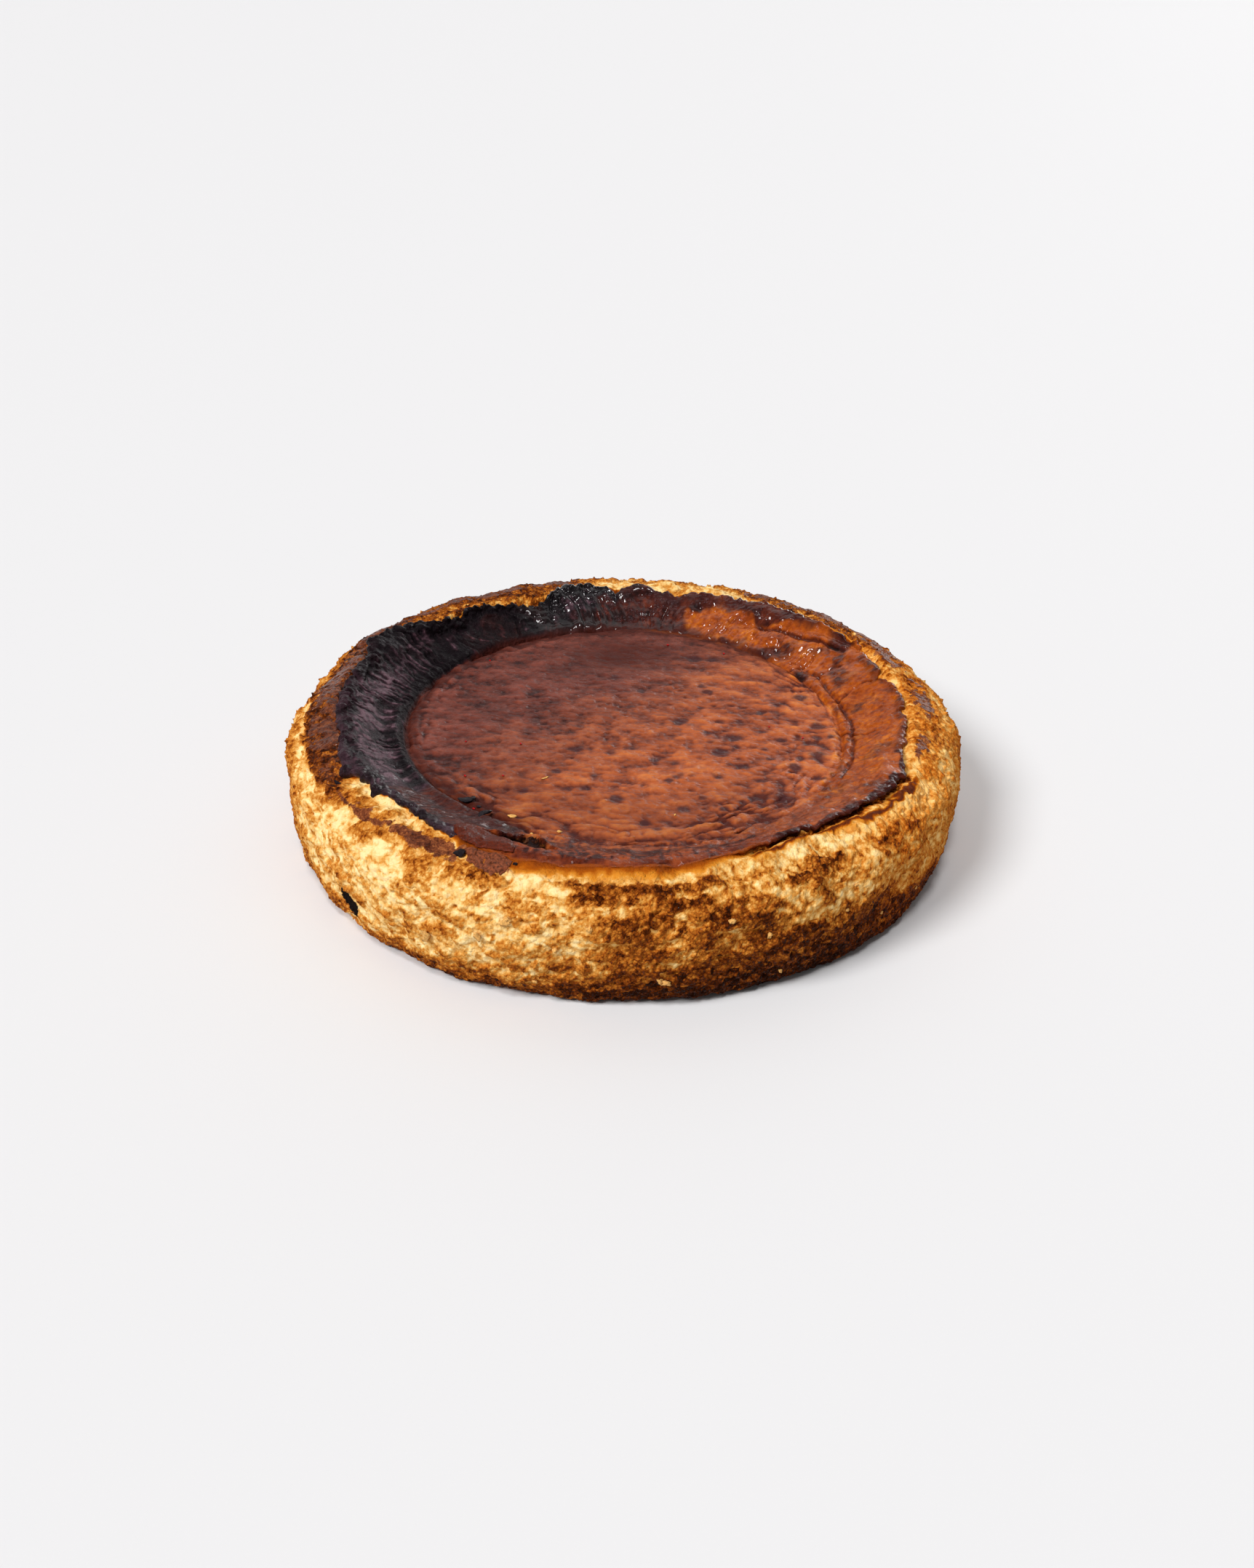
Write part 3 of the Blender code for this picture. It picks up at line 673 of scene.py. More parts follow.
def skin_surface(azimuth, station, edge, share):
    """Points and finish values of the burnt skin: over the rim, down the wall, and on across the
    sunken top, where the share is the distance from the middle over the top's radius."""
    degrees, sector = sectors(azimuth)
    points, outward = plain_surface(azimuth, station)
    top_radius = around(TOP_RADIUS, azimuth)
    on_wall = station < TOP_STATION
    radius = np.where(on_wall, np.hypot(points[..., 0], points[..., 1]), top_radius * share)
    dome = TOP_MIDDLE_HEIGHT * MM * (1 - share ** 2) + around(TOP_EDGE_HEIGHT, azimuth) * share ** 2
    level = np.stack([radius * np.cos(azimuth), radius * np.sin(azimuth), dome], -1)
    points = np.where(on_wall[..., None], points, level)
    meet = step(TOP_STATION - 1, TOP_STATION, station)[..., None]
    outward = outward * (1 - meet) + np.array([0, 0, 1.0]) * meet
    inside = np.where(on_wall, (station - TOP_STATION) * 5.0, (top_radius - radius) / MM)
    along = (station * 3.4 + np.maximum(inside, 0)) * MM
    into = station - edge
    body = step(0.4, 1.4, into)
    x, y = points[..., 0] / MM, points[..., 1] / MM
    wall = 1 - step(-2.5, 1.0, inside)
    patchy = lumps(points, 9, 101)
    fine_patchy = lumps(points, 4, 102)

    burnt = (1.2 * sector(146, 212, 9) + 0.9 * sector(212, 239, 6)
             * (1 - step(0.5, 2.0, into + 0.5 * patchy)) + 1.1 * sector(101, 148, 6)
             * (0.52 + 0.48 * step(-0.25, 0.5, 12.4 - station + 0.9 * patchy))
             + 0.75 * sector(93, 104, 3) * (1 - step(0.4, 1.3, into + 0.4 * fine_patchy)))
    burnt = np.clip(burnt + 0.12 * patchy * (burnt > 0), 0, 1) * wall
    umber = ((1 + 0.5 * fine_patchy) * sector(88, 150, 22)
             + (0.06 + 0.75 * patchy) * sector(30, 84, 10) + 1.1 * sector(208, 243, 6)
             + 0.9 * sector(71, 96, 6) * (1 - step(0.6, 1.8, into + 0.6 * fine_patchy))
             + 0.65 * sector(243, 296, 4)
             * band(12.1 + 0.1 * patchy, 12.6 + 0.1 * fine_patchy, 0.25, station)
             + 0.30 * sector(296, 326, 8)
             + 0.75 * sector(-70, -24, 8) * (1 - step(0.1, 0.6, into + 0.3 * fine_patchy))
             + 0.38 * sector(-24, 24, 12) * (1 - step(0.1, 0.9, into + 0.6 * fine_patchy))
             + 0.30 * sector(24, 62, 12) * (1 - step(0.1, 1.1, into + 0.6 * fine_patchy))
             + 0.4 * sector(-30, 60, 12) * step(0.0, 0.8, patchy + 0.7 * fine_patchy)
             + 0.20 * sector(-60, 60, 12) * step(0.1, 0.6, lumps(points, 2.4, 105)))
    umber = np.clip(umber + 0.25 * patchy * sector(24, 100, 10), 0, 1) * (1 - step(-1.5, 1.5, inside))
    amber = sector(-36, 80, 10) * (0.85 + 0.4 * patchy) * (1 - step(-1.5, 4.0, inside + 2 * fine_patchy))
    warm = step(-70, 62, x - y + 16 * lumps(points, 15, 134))
    wet = (sector(24, 112, 10) * band(10.6, 13.9, 0.5, station)
           + 0.3 * sector(-50, 24, 8) + 0.3 * sector(212, 240, 6)
           + 0.15 * sector(240, 300, 5)) * wall
    rolled = sector(240, 296, 5) * band(9.0, 11.8, 0.35, station + 0.15 * fine_patchy)
    glow = 0.8 * sector(246, 292, 7) * (1 - step(-0.05, 0.2, into + 0.12 * fine_patchy))

    wall_rise, fibres, crack = wall_relief(azimuth, station, along, points, into, burnt)
    top_rise, leather, spot, dark_hollow_and_crease_shade = top_relief(azimuth, radius, inside, points, warm)
    on_top_part = step(-3.0, 1.5, inside + 3.5 * sector(243, 296, 6))
    rise = relief(azimuth, np.minimum(station, TOP_STATION), points) * (1 - meet[..., 0])
    rise += wall_rise * (1 - step(-2.0, 1.5, inside)) + top_rise * on_top_part
    torn = 0.12 * lumps(points, 3, 144) + 0.08 * lumps(points, 1.5, 146)
    lower = 11.05 + torn
    upper = np.interp(degrees, (241, 244, 250, 253, 258), (11.5, 12.1, 13.0, 12.4, 11.2)) + torn
    cave = step(lower, lower + 0.45, station) * (1 - step(upper - 0.14, upper, station))
    cave *= sector(242.5, 256, 1.5)
    floor_height = 36.0 + 0.5 * lumps(points, 2.5, 147) + 0.3 * lumps(points, 1.2, 145)
    rise *= 1 - cave
    sink = cave * (floor_height - points[..., 2] / MM)
    rise += sector(241, 257, 2) * (0.9 * hump(upper + 0.12, 0.16, station)
                                   + 0.3 * hump(lower - 0.1, 0.15, station))
    lift = 0.2 + 0.6 * sector(104, 140, 8) + 0.9 * sector(140, 236, 8) + 0.1 * sector(60, 104, 8)
    lift += 0.45 * sector(-30, 60, 10) + 0.8 * sector(294, 330, 6)
    rise += lift * (0.35 + 0.65 * hump(0, 0.9, into)) * (1 - step(12.5, 13.8, station)) * (1 - cave)
    rise -= crease(azimuth, inside)
    # Painted sheen: a lighter band across the middle of the black wall, with painted shade towards its
    # crest and foot
    painted_sheen_band = hump(11.9 + 0.5 * patchy, 0.8, station) - 0.6 * hump(13.6, 0.8, station) - 0.3
    values = {"burnt": burnt, "umber": umber, "amber": np.clip(amber, 0, 1), "warm": warm,
              "wet": np.clip(wet, 0, 1), "rolled": rolled, "glow": glow,
              "cave": np.clip(cave * 2, 0, 1), "spot": spot * on_top_part,
              # Depth sets the skin's colour ramps: on the black wall its fibres give lighter streaks, which
              # are painted sheen
              "depth": ((0.46 - 0.32 * sector(-70, 90, 10)) * fibres + 0.2 * lumps(points, 0.9, 99)
                        + 0.4 * painted_sheen_band * burnt) * wall * body + 0.24 * fine_patchy * wall
              # The splits down the wall are darkened, painted shade; the back left wall is darker in colour
              - 0.6 * crack * wall - 0.4 * sector(104, 150, 30) * wall
              + leather * on_top_part,
              # Darker in the hollow and along the top's front margin, and painted shade along the crease
              # where the wall meets the top
              "dark_hollow_and_crease_shade": np.clip(dark_hollow_and_crease_shade * on_top_part + 0.8 * band(-1, 3, 3, inside) * sector(50, 236, 15)
                             + 0.34 * sector(232, 306, 20) * band(-1, 16, 18, inside), 0, 1)}
    points += outward * (rise * MM)[..., None]
    points[..., 2] += sink * MM
    return points, values


def roll_lip(points, outward, azimuth):
    """Rounds the torn edge of the skin: its first rows follow half a circle from underneath, round
    the outside, up to the top, and the very first row is buried in the crumb."""
    sector = sectors(azimuth)[1]
    bead = (0.35 + sector(148, 212, 8) + 0.5 * sector(214, 238, 5) + 0.7 * sector(104, 148, 8)
            + 0.4 * sector(60, 104, 8) + 0.6 * sector(-30, 60, 10) + 0.25 * sector(293, 330, 6))
    top = points[LIP_ROWS]
    normal = outward[LIP_ROWS]
    east, north = np.cos(azimuth), np.sin(azimuth)
    slope = normal[:, 0] * east + normal[:, 1] * north
    away = np.stack([normal[:, 2] * east, normal[:, 2] * north, -slope], -1)
    angle = np.radians(np.linspace(-90, 90, LIP_ROWS))[:, None]
    knobs = top + (away * bead[:, None] * np.cos(angle)[..., None] + normal * np.sin(angle)[..., None]) * MM
    size = bead * (1 + 0.35 * lumps(knobs, 4.6, 153) + 0.3 * lumps(knobs, 2.1, 151)
                   + 0.25 * lumps(knobs, 1.2, 152))
    size = np.maximum(size, 0.12)
    points[1:LIP_ROWS + 1] = (top + normal * ((size * np.sin(angle) - bead) * MM)[..., None]
                              + away * (size * np.cos(angle) * MM)[..., None])
    points[0] = points[1] - normal * 2.5 * MM - away * 0.5 * MM
    return points


def make_skin(rim, top):
    """The burnt skin: rows of stations from its torn edge to the edge of the sunken top, then rings
    shrinking to the middle. The first rows roll the edge under. Cut into a rim, a ring and a disc."""
    turn = np.arange(SKIN_COLUMNS) * 2 * math.pi / SKIN_COLUMNS
    share = np.concatenate([np.zeros(LIP_ROWS), np.linspace(0, 1, RIM_ROWS - LIP_ROWS)])[:, None]
    edge = skin_edge(turn)
    stations = edge + share * (TOP_STATION - edge)
    shrink = np.linspace(1, MIDDLE_SHARE, OUTER_ROWS)[1:, None]
    stations = np.concatenate([stations, np.full((OUTER_ROWS - 1, SKIN_COLUMNS), TOP_STATION)])
    stations[RIM_ROWS - 1] = TOP_STATION
    rings = np.concatenate([np.ones((RIM_ROWS, SKIN_COLUMNS)), np.repeat(shrink, SKIN_COLUMNS, 1)])
    azimuth = np.broadcast_to(turn, stations.shape)
    points, values = skin_surface(azimuth, stations, np.broadcast_to(edge, stations.shape), rings)
    outward = plain_surface(azimuth[:LIP_ROWS + 1], stations[:LIP_ROWS + 1])[1]
    points = roll_lip(points, outward, turn)
    directions = smooth_directions(points)
    cuts = ((0, RIM_ROWS, (0.068, 0.028), "burnt_rim", rim),
            (RIM_ROWS - 1, len(points), (0.06, 0.028), "sunken_ring", top))
    for first, last, end, name, material in cuts:
        part = {key: array[first:last] for key, array in values.items()}
        ring_piece(name, points[first:last], directions[first:last], part, (end,), material)

    turn = np.arange(MIDDLE_COLUMNS) * 2 * math.pi / MIDDLE_COLUMNS
    step_in = MIDDLE_SHARE / MIDDLE_ROWS
    shrink = np.concatenate([[MIDDLE_SHARE + step_in], np.linspace(MIDDLE_SHARE, step_in, MIDDLE_ROWS)])
    rings, azimuth = np.meshgrid(shrink, turn, indexing="ij")
    flat = np.full_like(rings, TOP_STATION)
    middle, middle_values = skin_surface(azimuth, flat, flat - 4, rings)
    directions = smooth_directions(middle)
    middle, directions = middle[1:], directions[1:]
    middle_values = {key: array[1:] for key, array in middle_values.items()}
    centre = tuple(middle[-1].mean(0))
    ring_piece("sunken_middle", middle, directions, middle_values, ((0, 0, 0.029), centre + (1,)), top)


# Flaps and loose bits

def on_side(azimuth, station):
    """Points of the crumb at azimuths in degrees, and the outward, round and upward directions."""
    turn = np.radians(np.asarray(azimuth, float))
    station = np.asarray(station, float)
    points = crumb_rows(turn, station, skin_edge(turn))[0]
    outward = plain_surface(turn, station)[1]
    side = np.stack([-np.sin(turn), np.cos(turn), turn * 0], -1)
    return points, outward, side, np.cross(outward, side)


def on_top(azimuth, radius):
    """Points of the sunken top at azimuths in degrees and radii in millimetres, and directions."""
    turn = np.radians(np.asarray(azimuth, float))
    station = np.full_like(turn, TOP_STATION)
    radius = np.asarray(radius, float) * MM
    share = radius / around(TOP_RADIUS, turn)
    points = skin_surface(turn, np.where(share > 1, 13.9, station), station - 4, np.minimum(share, 1))[0]
    points[..., :2] = np.stack([np.cos(turn), np.sin(turn)], -1) * radius[..., None]
    outward = np.tile((0.0, 0.0, 1.0), (len(turn), 1))
    side = np.stack([-np.sin(turn), np.cos(turn), turn * 0], -1)
    return points, outward, side, np.cross(outward, side)


def make_scrap(name, surface, low, high, lift, thick, ragged, material):
    """A scrap of skin between a low and a high outline (azimuth, station): its section is a flat
    loop, over the top at the lift and back underneath, and each end closes in a fan."""
    columns, half = 120, 40
    turn = np.linspace(low[0][0], low[-1][0], columns)
    bottom = np.interp(turn, *np.transpose(low))
    top = np.interp(turn, *np.transpose(high))
    ring = round_points(np.radians(turn), 0.1, turn * 0)
    bottom -= ragged * (lumps(ring, 2.6, 161) + 0.7 * lumps(ring, 1.1, 162))
    top += 0.5 * ragged * lumps(ring, 2.0, 163)
    angle = np.linspace(0, 2 * math.pi, 2 * half + 1)[:-1, None]
    across = 0.5 + 0.5 * np.cos(angle)
    over = np.sign(np.sin(angle)) * np.minimum(1, 3.0 * np.sqrt(np.clip(across * (1 - across), 0, 1)))
    station = bottom + (top - bottom) * across
    azimuth = np.broadcast_to(turn, station.shape)
    points, outward = surface(np.radians(azimuth), station)
    waves = 0.35 * lumps(points, 6, 164) + ragged * lumps(points, 1.6, 165)
    ends = np.minimum(1, 8 * np.minimum(np.linspace(0, 1, columns), np.linspace(1, 0, columns)))
    height = (lift + waves) * (0.3 + 0.7 * ends) + 0.5 * thick * over
    points += outward * (height * MM)[..., None]
    count = points.shape[0] * columns
    here = np.arange(2 * half)
    after = (here + 1) % (2 * half)
    along = np.arange(columns - 1)
    low_left = here[:, None] * columns + along
    up_left = after[:, None] * columns + along
    sheet = np.stack([low_left, up_left, up_left + 1, low_left + 1], -1).reshape(-1, 4)
    end = columns - 1
    first = np.stack([here * 0 + count, after * columns, here * columns], -1)
    last = np.stack([here * 0 + count + 1, here * columns + end, after * columns + end], -1)
    every = np.concatenate([points.reshape(-1, 3), points[:, :1].mean(0), points[:, -1:].mean(0)])
    return finish_mesh(name, every, None, [sheet], [first, last], {}, material)


def make_bits(name, place, sizes, seed, material, jag=0.3, flat=1.0):
    """Loose bits of one kind: each a small closed ball of rows and columns, squashed to its length,
    width and thickness in millimetres, made uneven, bent along its length, turned and laid down.
    Sizes hold length, width, thickness, turn in degrees, tilt in degrees, bend and lift."""
    rows, columns = 9, 14
    points, outward, side, upward = place
    length, width, thick, turn, tilt, bend, lift = np.transpose(np.array(sizes, float))[:, :, None]
    polar = np.linspace(0, math.pi, rows)[:, None]
    round_about = np.arange(columns) * 2 * math.pi / columns
    ball = np.stack([np.sin(polar) * np.cos(round_about), np.sin(polar) * np.sin(round_about),
                     np.cos(polar) + round_about * 0], -1).reshape(-1, 3)
    shift = np.arange(len(sizes))[:, None, None] * 7.3
    uneven = 1 + jag * lumps((ball[None] * 1.3 + shift) * MM, 0.8, seed)
    uneven += 0.6 * jag * lumps((ball[None] * 2.9 + shift) * MM, 0.8, seed + 1)
    x = ball[:, 0] * length * uneven / 2
    y = ball[:, 1] * width * uneven / 2
    z = np.sign(ball[:, 2]) * np.abs(ball[:, 2]) ** flat * thick * uneven / 2
    z += bend * ((2 * x / length) ** 2 - 0.3) + lift
    turn, tilt = np.radians(turn), np.radians(tilt)
    x, z = x * np.cos(tilt) - z * np.sin(tilt), x * np.sin(tilt) + z * np.cos(tilt)
    x, y = x * np.cos(turn) - y * np.sin(turn), x * np.sin(turn) + y * np.cos(turn)
    every = points[:, None] + (side[:, None] * x[..., None] + upward[:, None] * y[..., None]
                               + outward[:, None] * z[..., None]) * MM
    here = np.arange(columns)
    after = (here + 1) % columns
    row = np.arange(rows - 1)[:, None] * columns
    quads = np.stack([row + here, row + columns + here, row + columns + after, row + after], -1)
    start = np.arange(len(sizes))[:, None, None] * rows * columns
    quads = (quads.reshape(-1, 4) + start).reshape(-1, 4)
    return finish_mesh(name, every.reshape(-1, 3), None, [quads], [], {}, material)


def make_flaps(skin, torn):
    """The folded flap of skin at the front left, and the torn patch that hangs below it."""
    def on_rim(azimuth, station):
        plain, outward = plain_surface(azimuth, station)
        shown = skin_surface(azimuth, station, skin_edge(azimuth), np.ones_like(azimuth))[0]
        rise = np.sum((shown - plain) * outward, -1)
        return plain + outward * np.maximum(rise, -0.2 * MM)[..., None], outward

    def on_crumb(azimuth, station):
        outward = plain_surface(azimuth, station)[1]
        return crumb_rows(azimuth, station, skin_edge(azimuth))[0], outward

    low = ((237.0, 10.2), (238.2, 9.4), (240.5, 8.95), (244, 8.8), (250.2, 9.3))
    high = ((237.0, 10.6), (238.2, 11.3), (242, 11.75), (248.6, 10.75), (250.2, 9.9))
    make_scrap("skin_flap", on_rim, low, high, 0.45, 0.7, 0.06, skin)
    low = ((242.0, 8.4), (243.5, 8.05), (245.5, 7.85), (248, 7.75), (250.0, 8.1), (250.8, 8.5))
    high = ((242.0, 8.5), (243.5, 8.75), (249, 8.95), (250.8, 8.7))
    make_scrap("torn_patch", on_crumb, low, high, 0.25, 0.5, 0.22, torn)


def make_loose(char, pale, red):
    """Black flakes, pale crumbs and slivers, and tiny red specks that lie on the cake: for each
    kind their azimuths, their radii or stations, and the sizes that make_bits() takes."""
    flakes = ((5.4, 2.8, 0.7, 45, 4, 0.4, 0.8), (5.4, 2.0, 0.9, 72, 10, -0.5, 1.9),
              (1.4, 1.0, 0.5, 20, 0, 0.1, 0.4))
    make_bits("char_flakes", on_top((225.5, 234, 229.5), (74.5, 77.6, 74)), flakes, 171, char, 0.5, 0.7)
    chunks = ((3.6, 2.6, 1.8, 30, 12, 0.4, 0.8), (3.0, 1.2, 0.9, 20, 0, 0.3, 0.4),
              (1.3, 0.9, 0.7, 0, 0, 0, 0.3))
    make_bits("char_lumps", on_side((242.0, 208.5, 251.5), (8.35, 8.25, 8.6)), chunks, 173, char, 0.5, 0.8)
    slivers = ((3.2, 0.9, 0.3, 70, 0, 0.2, 0.2), (2.8, 1.8, 0.7, 20, 0, 0.2, 0.3),
               (1.3, 1.0, 0.7, 50, 0, 0, 0.3), (1.6, 1.1, 0.8, 0, 0, 0, 0.3),
               (1.1, 0.8, 0.5, 10, 0, 0, 0.2), (1.2, 0.6, 0.4, 60, 0, 0, 0.2))
    place = on_top((236, 240, 263, 254, 248, 285), (48, 73, 85.7, 75.2, 79, 64))
    make_bits("pale_slivers", place, slivers, 175, pale)

    number = np.arange(15)
    around_base = np.linspace(236, 322, 15) + 2.8 * np.sin(number * 2.4)
    level = 3.1 + 1.5 * np.sin(number * 4.1) ** 2 + 0.9 * np.sin(number * 1.7)
    size = 1.2 + 1.1 * np.sin(number * 2.9) ** 2
    stuck = np.stack([size, size * 0.75, size * 0.6, number * 47.0, size * 0, size * 0, size * 0.2], -1)
    stuck[:3] = ((4.2, 2.6, 1.2, 70, 0, 0.3, 0.9), (3.4, 2.4, 1.2, 30, 0, 0.2, 0.8),
                 (3.0, 2.2, 1.0, 100, 0, 0.3, 0.8))
    around_base[:3] = (239.5, 252.5, 248.5)
    level[:3] = (3.6, 5.1, 4.3)
    make_bits("stuck_crumbs", on_side(around_base, level), stuck, 177, pale, 0.6)

    specks = np.tile((0.9, 0.7, 0.5, 0.0, 0.0, 0.0, 0.2), (10, 1))
    specks[:, 0] = 0.7 + 0.5 * np.sin(np.arange(10) * 1.9) ** 2
    place = on_top((356, 350, 205.5, 223, 229, 137.5, 75, 55, 196, 215),
                   (51.5, 63.7, 40.4, 56.3, 75.5, 71, 63, 66, 58, 66))
    make_bits("red_specks", place, specks, 179, red, 0.2)


# Finishes

def srgb(*colour):
    """A linear colour from red, green and blue screen values of 0 to 255."""
    return tuple(((c / 255 + 0.055) / 1.055) ** 2.4 if c > 10 else c / 3295 for c in colour) + (1.0,)


class Amount:
    """A number from a node, which takes part in sums: each sum adds a Math node."""

    def __init__(self, finish, socket):
        self.finish = finish
        self.socket = socket

    def _math(self, operation, first, second):
        made = self.finish.node("ShaderNodeMath", {"operation": operation}, {0: first, 1: second})
        return Amount(self.finish, made.outputs[0])

    def __add__(self, other):
        return self._math("ADD", self, other)

    def __sub__(self, other):
        return self._math("SUBTRACT", self, other)

    def __rsub__(self, other):
        return self._math("SUBTRACT", other, self)

    def __mul__(self, other):
        return self._math("MULTIPLY", self, other)

    __radd__ = __add__
    __rmul__ = __mul__


class Finish:
    """One material: node() adds any node, and the rest are short names for the usual ones."""

    def __init__(self, name):
        self.material = bpy.data.materials.new(name)
        self.material.use_nodes = True
        self.tree = self.material.node_tree
        self.tree.nodes.clear()
        self.place = self.node("ShaderNodeTexCoord", {}, {}).outputs["Object"]

    def node(self, kind, settings, sockets):
        """Adds a node: its settings first, then the values or links of its sockets."""
        made = self.tree.nodes.new(kind)
        for key, value in settings.items():
            if key == "stops":
                ramp = made.color_ramp
                for number, (position, colour) in enumerate(value):
                    stop = ramp.elements[number] if number < 2 else ramp.elements.new(position)
                    stop.position = position
                    stop.color = colour
            else:
                setattr(made, key, value)
        for key, value in sockets.items():
            if isinstance(value, Amount):
                value = value.socket
            if isinstance(value, bpy.types.NodeSocket):
                self.tree.links.new(value, made.inputs[key])
            else:
                made.inputs[key].default_value = value
        return made

    def value(self, name):
        made = self.node("ShaderNodeAttribute", {"attribute_name": name}, {})
        return Amount(self, made.outputs["Fac"])

    def noise(self, grain, detail=3.0, roughness=0.55, stretch=None):
        """Noise from 0 to 1 whose grain size is in millimetres."""
        where = self.place
        if stretch:
            where = self.node("ShaderNodeMapping", {}, {"Vector": where, "Scale": stretch}).outputs[0]
        sockets = {"Vector": where, "Scale": 1000.0 / grain, "Detail": detail, "Roughness": roughness}
        return Amount(self, self.node("ShaderNodeTexNoise", {}, sockets).outputs["Fac"])

    def cells(self, grain):
        """Grains of a size in millimetres: the distance from each one's middle, and a number for each."""
        made = self.node("ShaderNodeTexVoronoi", {}, {"Vector": self.place, "Scale": 1000.0 / grain})
        parts = self.node("ShaderNodeSeparateColor", {}, {"Color": made.outputs["Color"]})
        return Amount(self, made.outputs["Distance"]), Amount(self, parts.outputs["Red"])

    def ramp(self, amount, stops):
        """Colours along an amount: each stop is a position, then red, green and blue from 0 to 255."""
        stops = [(position, srgb(*colour)) for position, *colour in stops]
        return self.node("ShaderNodeValToRGB", {"stops": stops}, {"Fac": amount}).outputs["Color"]

    def curve(self, amount, low, high):
        """A smooth rise from 0 at low to 1 at high."""
        sockets = {"Value": amount, "From Min": low, "From Max": high}
        made = self.node("ShaderNodeMapRange", {"interpolation_type": "SMOOTHSTEP"}, sockets)
        return Amount(self, made.outputs["Result"])

    def mixed(self, amount, first, second, blend="MIX"):
        """Two colours mixed by an amount."""
        settings = {"data_type": "RGBA", "blend_type": blend, "clamp_factor": True}
        return self.node("ShaderNodeMix", settings, {0: amount, 6: first, 7: second}).outputs[2]

    def over(self, colour, layer, name, low, high, noise=None):
        """A layer laid over a colour where a named value, plus noise, rises from low to high."""
        mask = self.value(name) + noise if noise else self.value(name)
        return self.mixed(self.curve(mask, low, high), colour, layer)

    def bump(self, height, distance, strength=1.0, after=None):
        sockets = {"Height": height, "Distance": distance, "Strength": strength}
        if after:
            sockets["Normal"] = after
        return self.node("ShaderNodeBump", {}, sockets).outputs["Normal"]

    def surface(self, sockets):
        shader = self.node("ShaderNodeBsdfPrincipled", {}, sockets)
        self.node("ShaderNodeOutputMaterial", {}, {"Surface": shader.outputs["BSDF"]})
        return self.material


def crumb_finish():
    """Baked crumb: creamy where torn, gold to dark brown where toasted, dull, grainy and porous; some shade
    is painted in.
    """
    paint = Finish("toasted crumb")
    grain, grain_tone = paint.cells(1.15)
    coarse_tone = paint.cells(2.3)[1]
    fine = paint.noise(1.4, 3.0, 0.6)
    speck = paint.noise(0.6, 2.0, 0.6)
    wide = paint.noise(8.0, 2.0)
    level = paint.value("toast_and_painted_shade")
    dark = paint.curve(level, 0.45, 0.8)
    # Darker towards the edge of each grain: painted shade between grains
    mottle = ((grain_tone - 0.5) * 0.16 + (coarse_tone - 0.5) * (0.10 + dark * 0.26) + (speck - 0.5) * 0.42
              + (fine - 0.5) * 0.42 + (grain - 0.4) * 0.26)
    toast_and_painted_shade = level + mottle * (paint.curve(level, 0.08, 0.5) * 0.45 + 0.5)
    brown = paint.ramp(toast_and_painted_shade, [(0.0, 248, 218, 158), (0.16, 236, 192, 120), (0.34, 212, 150, 70),
                               (0.50, 190, 116, 40), (0.66, 146, 76, 20), (0.82, 94, 40, 8),
                               (1.0, 44, 15, 2)])
    brown = paint.mixed((wide - 0.4) * 0.4, brown, srgb(250, 200, 112), "MULTIPLY")
    # Painted warm shade: the right side multiplied warmer and more saturated
    brown = paint.mixed(paint.value("warm_painted_shade") * 0.6, brown, srgb(255, 226, 176), "MULTIPLY")
    glazed_amount = paint.value("glaze") + (fine - 0.5) * 0.25
    glazed = paint.ramp(glazed_amount, [(0.0, 238, 186, 100), (0.3, 212, 134, 40), (0.55, 160, 78, 10),
                                        (0.8, 112, 48, 14), (1.0, 84, 36, 18)])
    colour = paint.mixed(paint.curve(glazed_amount, 0.06, 0.36), brown, glazed)
    torn = paint.value("torn")
    skin = paint.noise(2.2, 3.0) * 0.8 + level * 0.2 + (speck - 0.5) * 0.6 + torn * 0.12 - 0.06
    skin = paint.ramp(skin, [(0.3, 168, 102, 56), (0.5, 122, 64, 36), (0.68, 84, 40, 24),
                             (0.9, 50, 22, 14)])
    torn = paint.curve(torn + (fine - 0.5) * 0.8 + (speck - 0.5) * 0.6, 0.25, 0.8)
    colour = paint.mixed(torn, colour, skin)
    colour = paint.over(colour, srgb(24, 16, 14), "char", 0.3, 0.6, (fine - 0.5) * 0.5)
    oily = paint.curve(toast_and_painted_shade, 0.6, 0.85) * paint.curve(speck, 0.56, 0.66)
    moist = paint.value("moist") + oily + torn * 0.3
    rough = 0.85 - torn * 0.34 - paint.curve(glazed_amount, 0.5, 1.0) * 0.36 - moist * 0.2
    normal = paint.bump(speck, 0.0005, 0.6)
    normal = paint.bump((1 - grain) * (0.35 + dark * 0.65), 0.0010, 0.7, normal)
    normal = paint.bump(fine, 0.0009, 0.5, normal)
    return paint.surface({"Base Color": colour, "Roughness": rough, "Normal": normal,
                          "Specular IOR Level": 0.04, "Coat Weight": moist * 0.3, "Coat Roughness": 0.14})


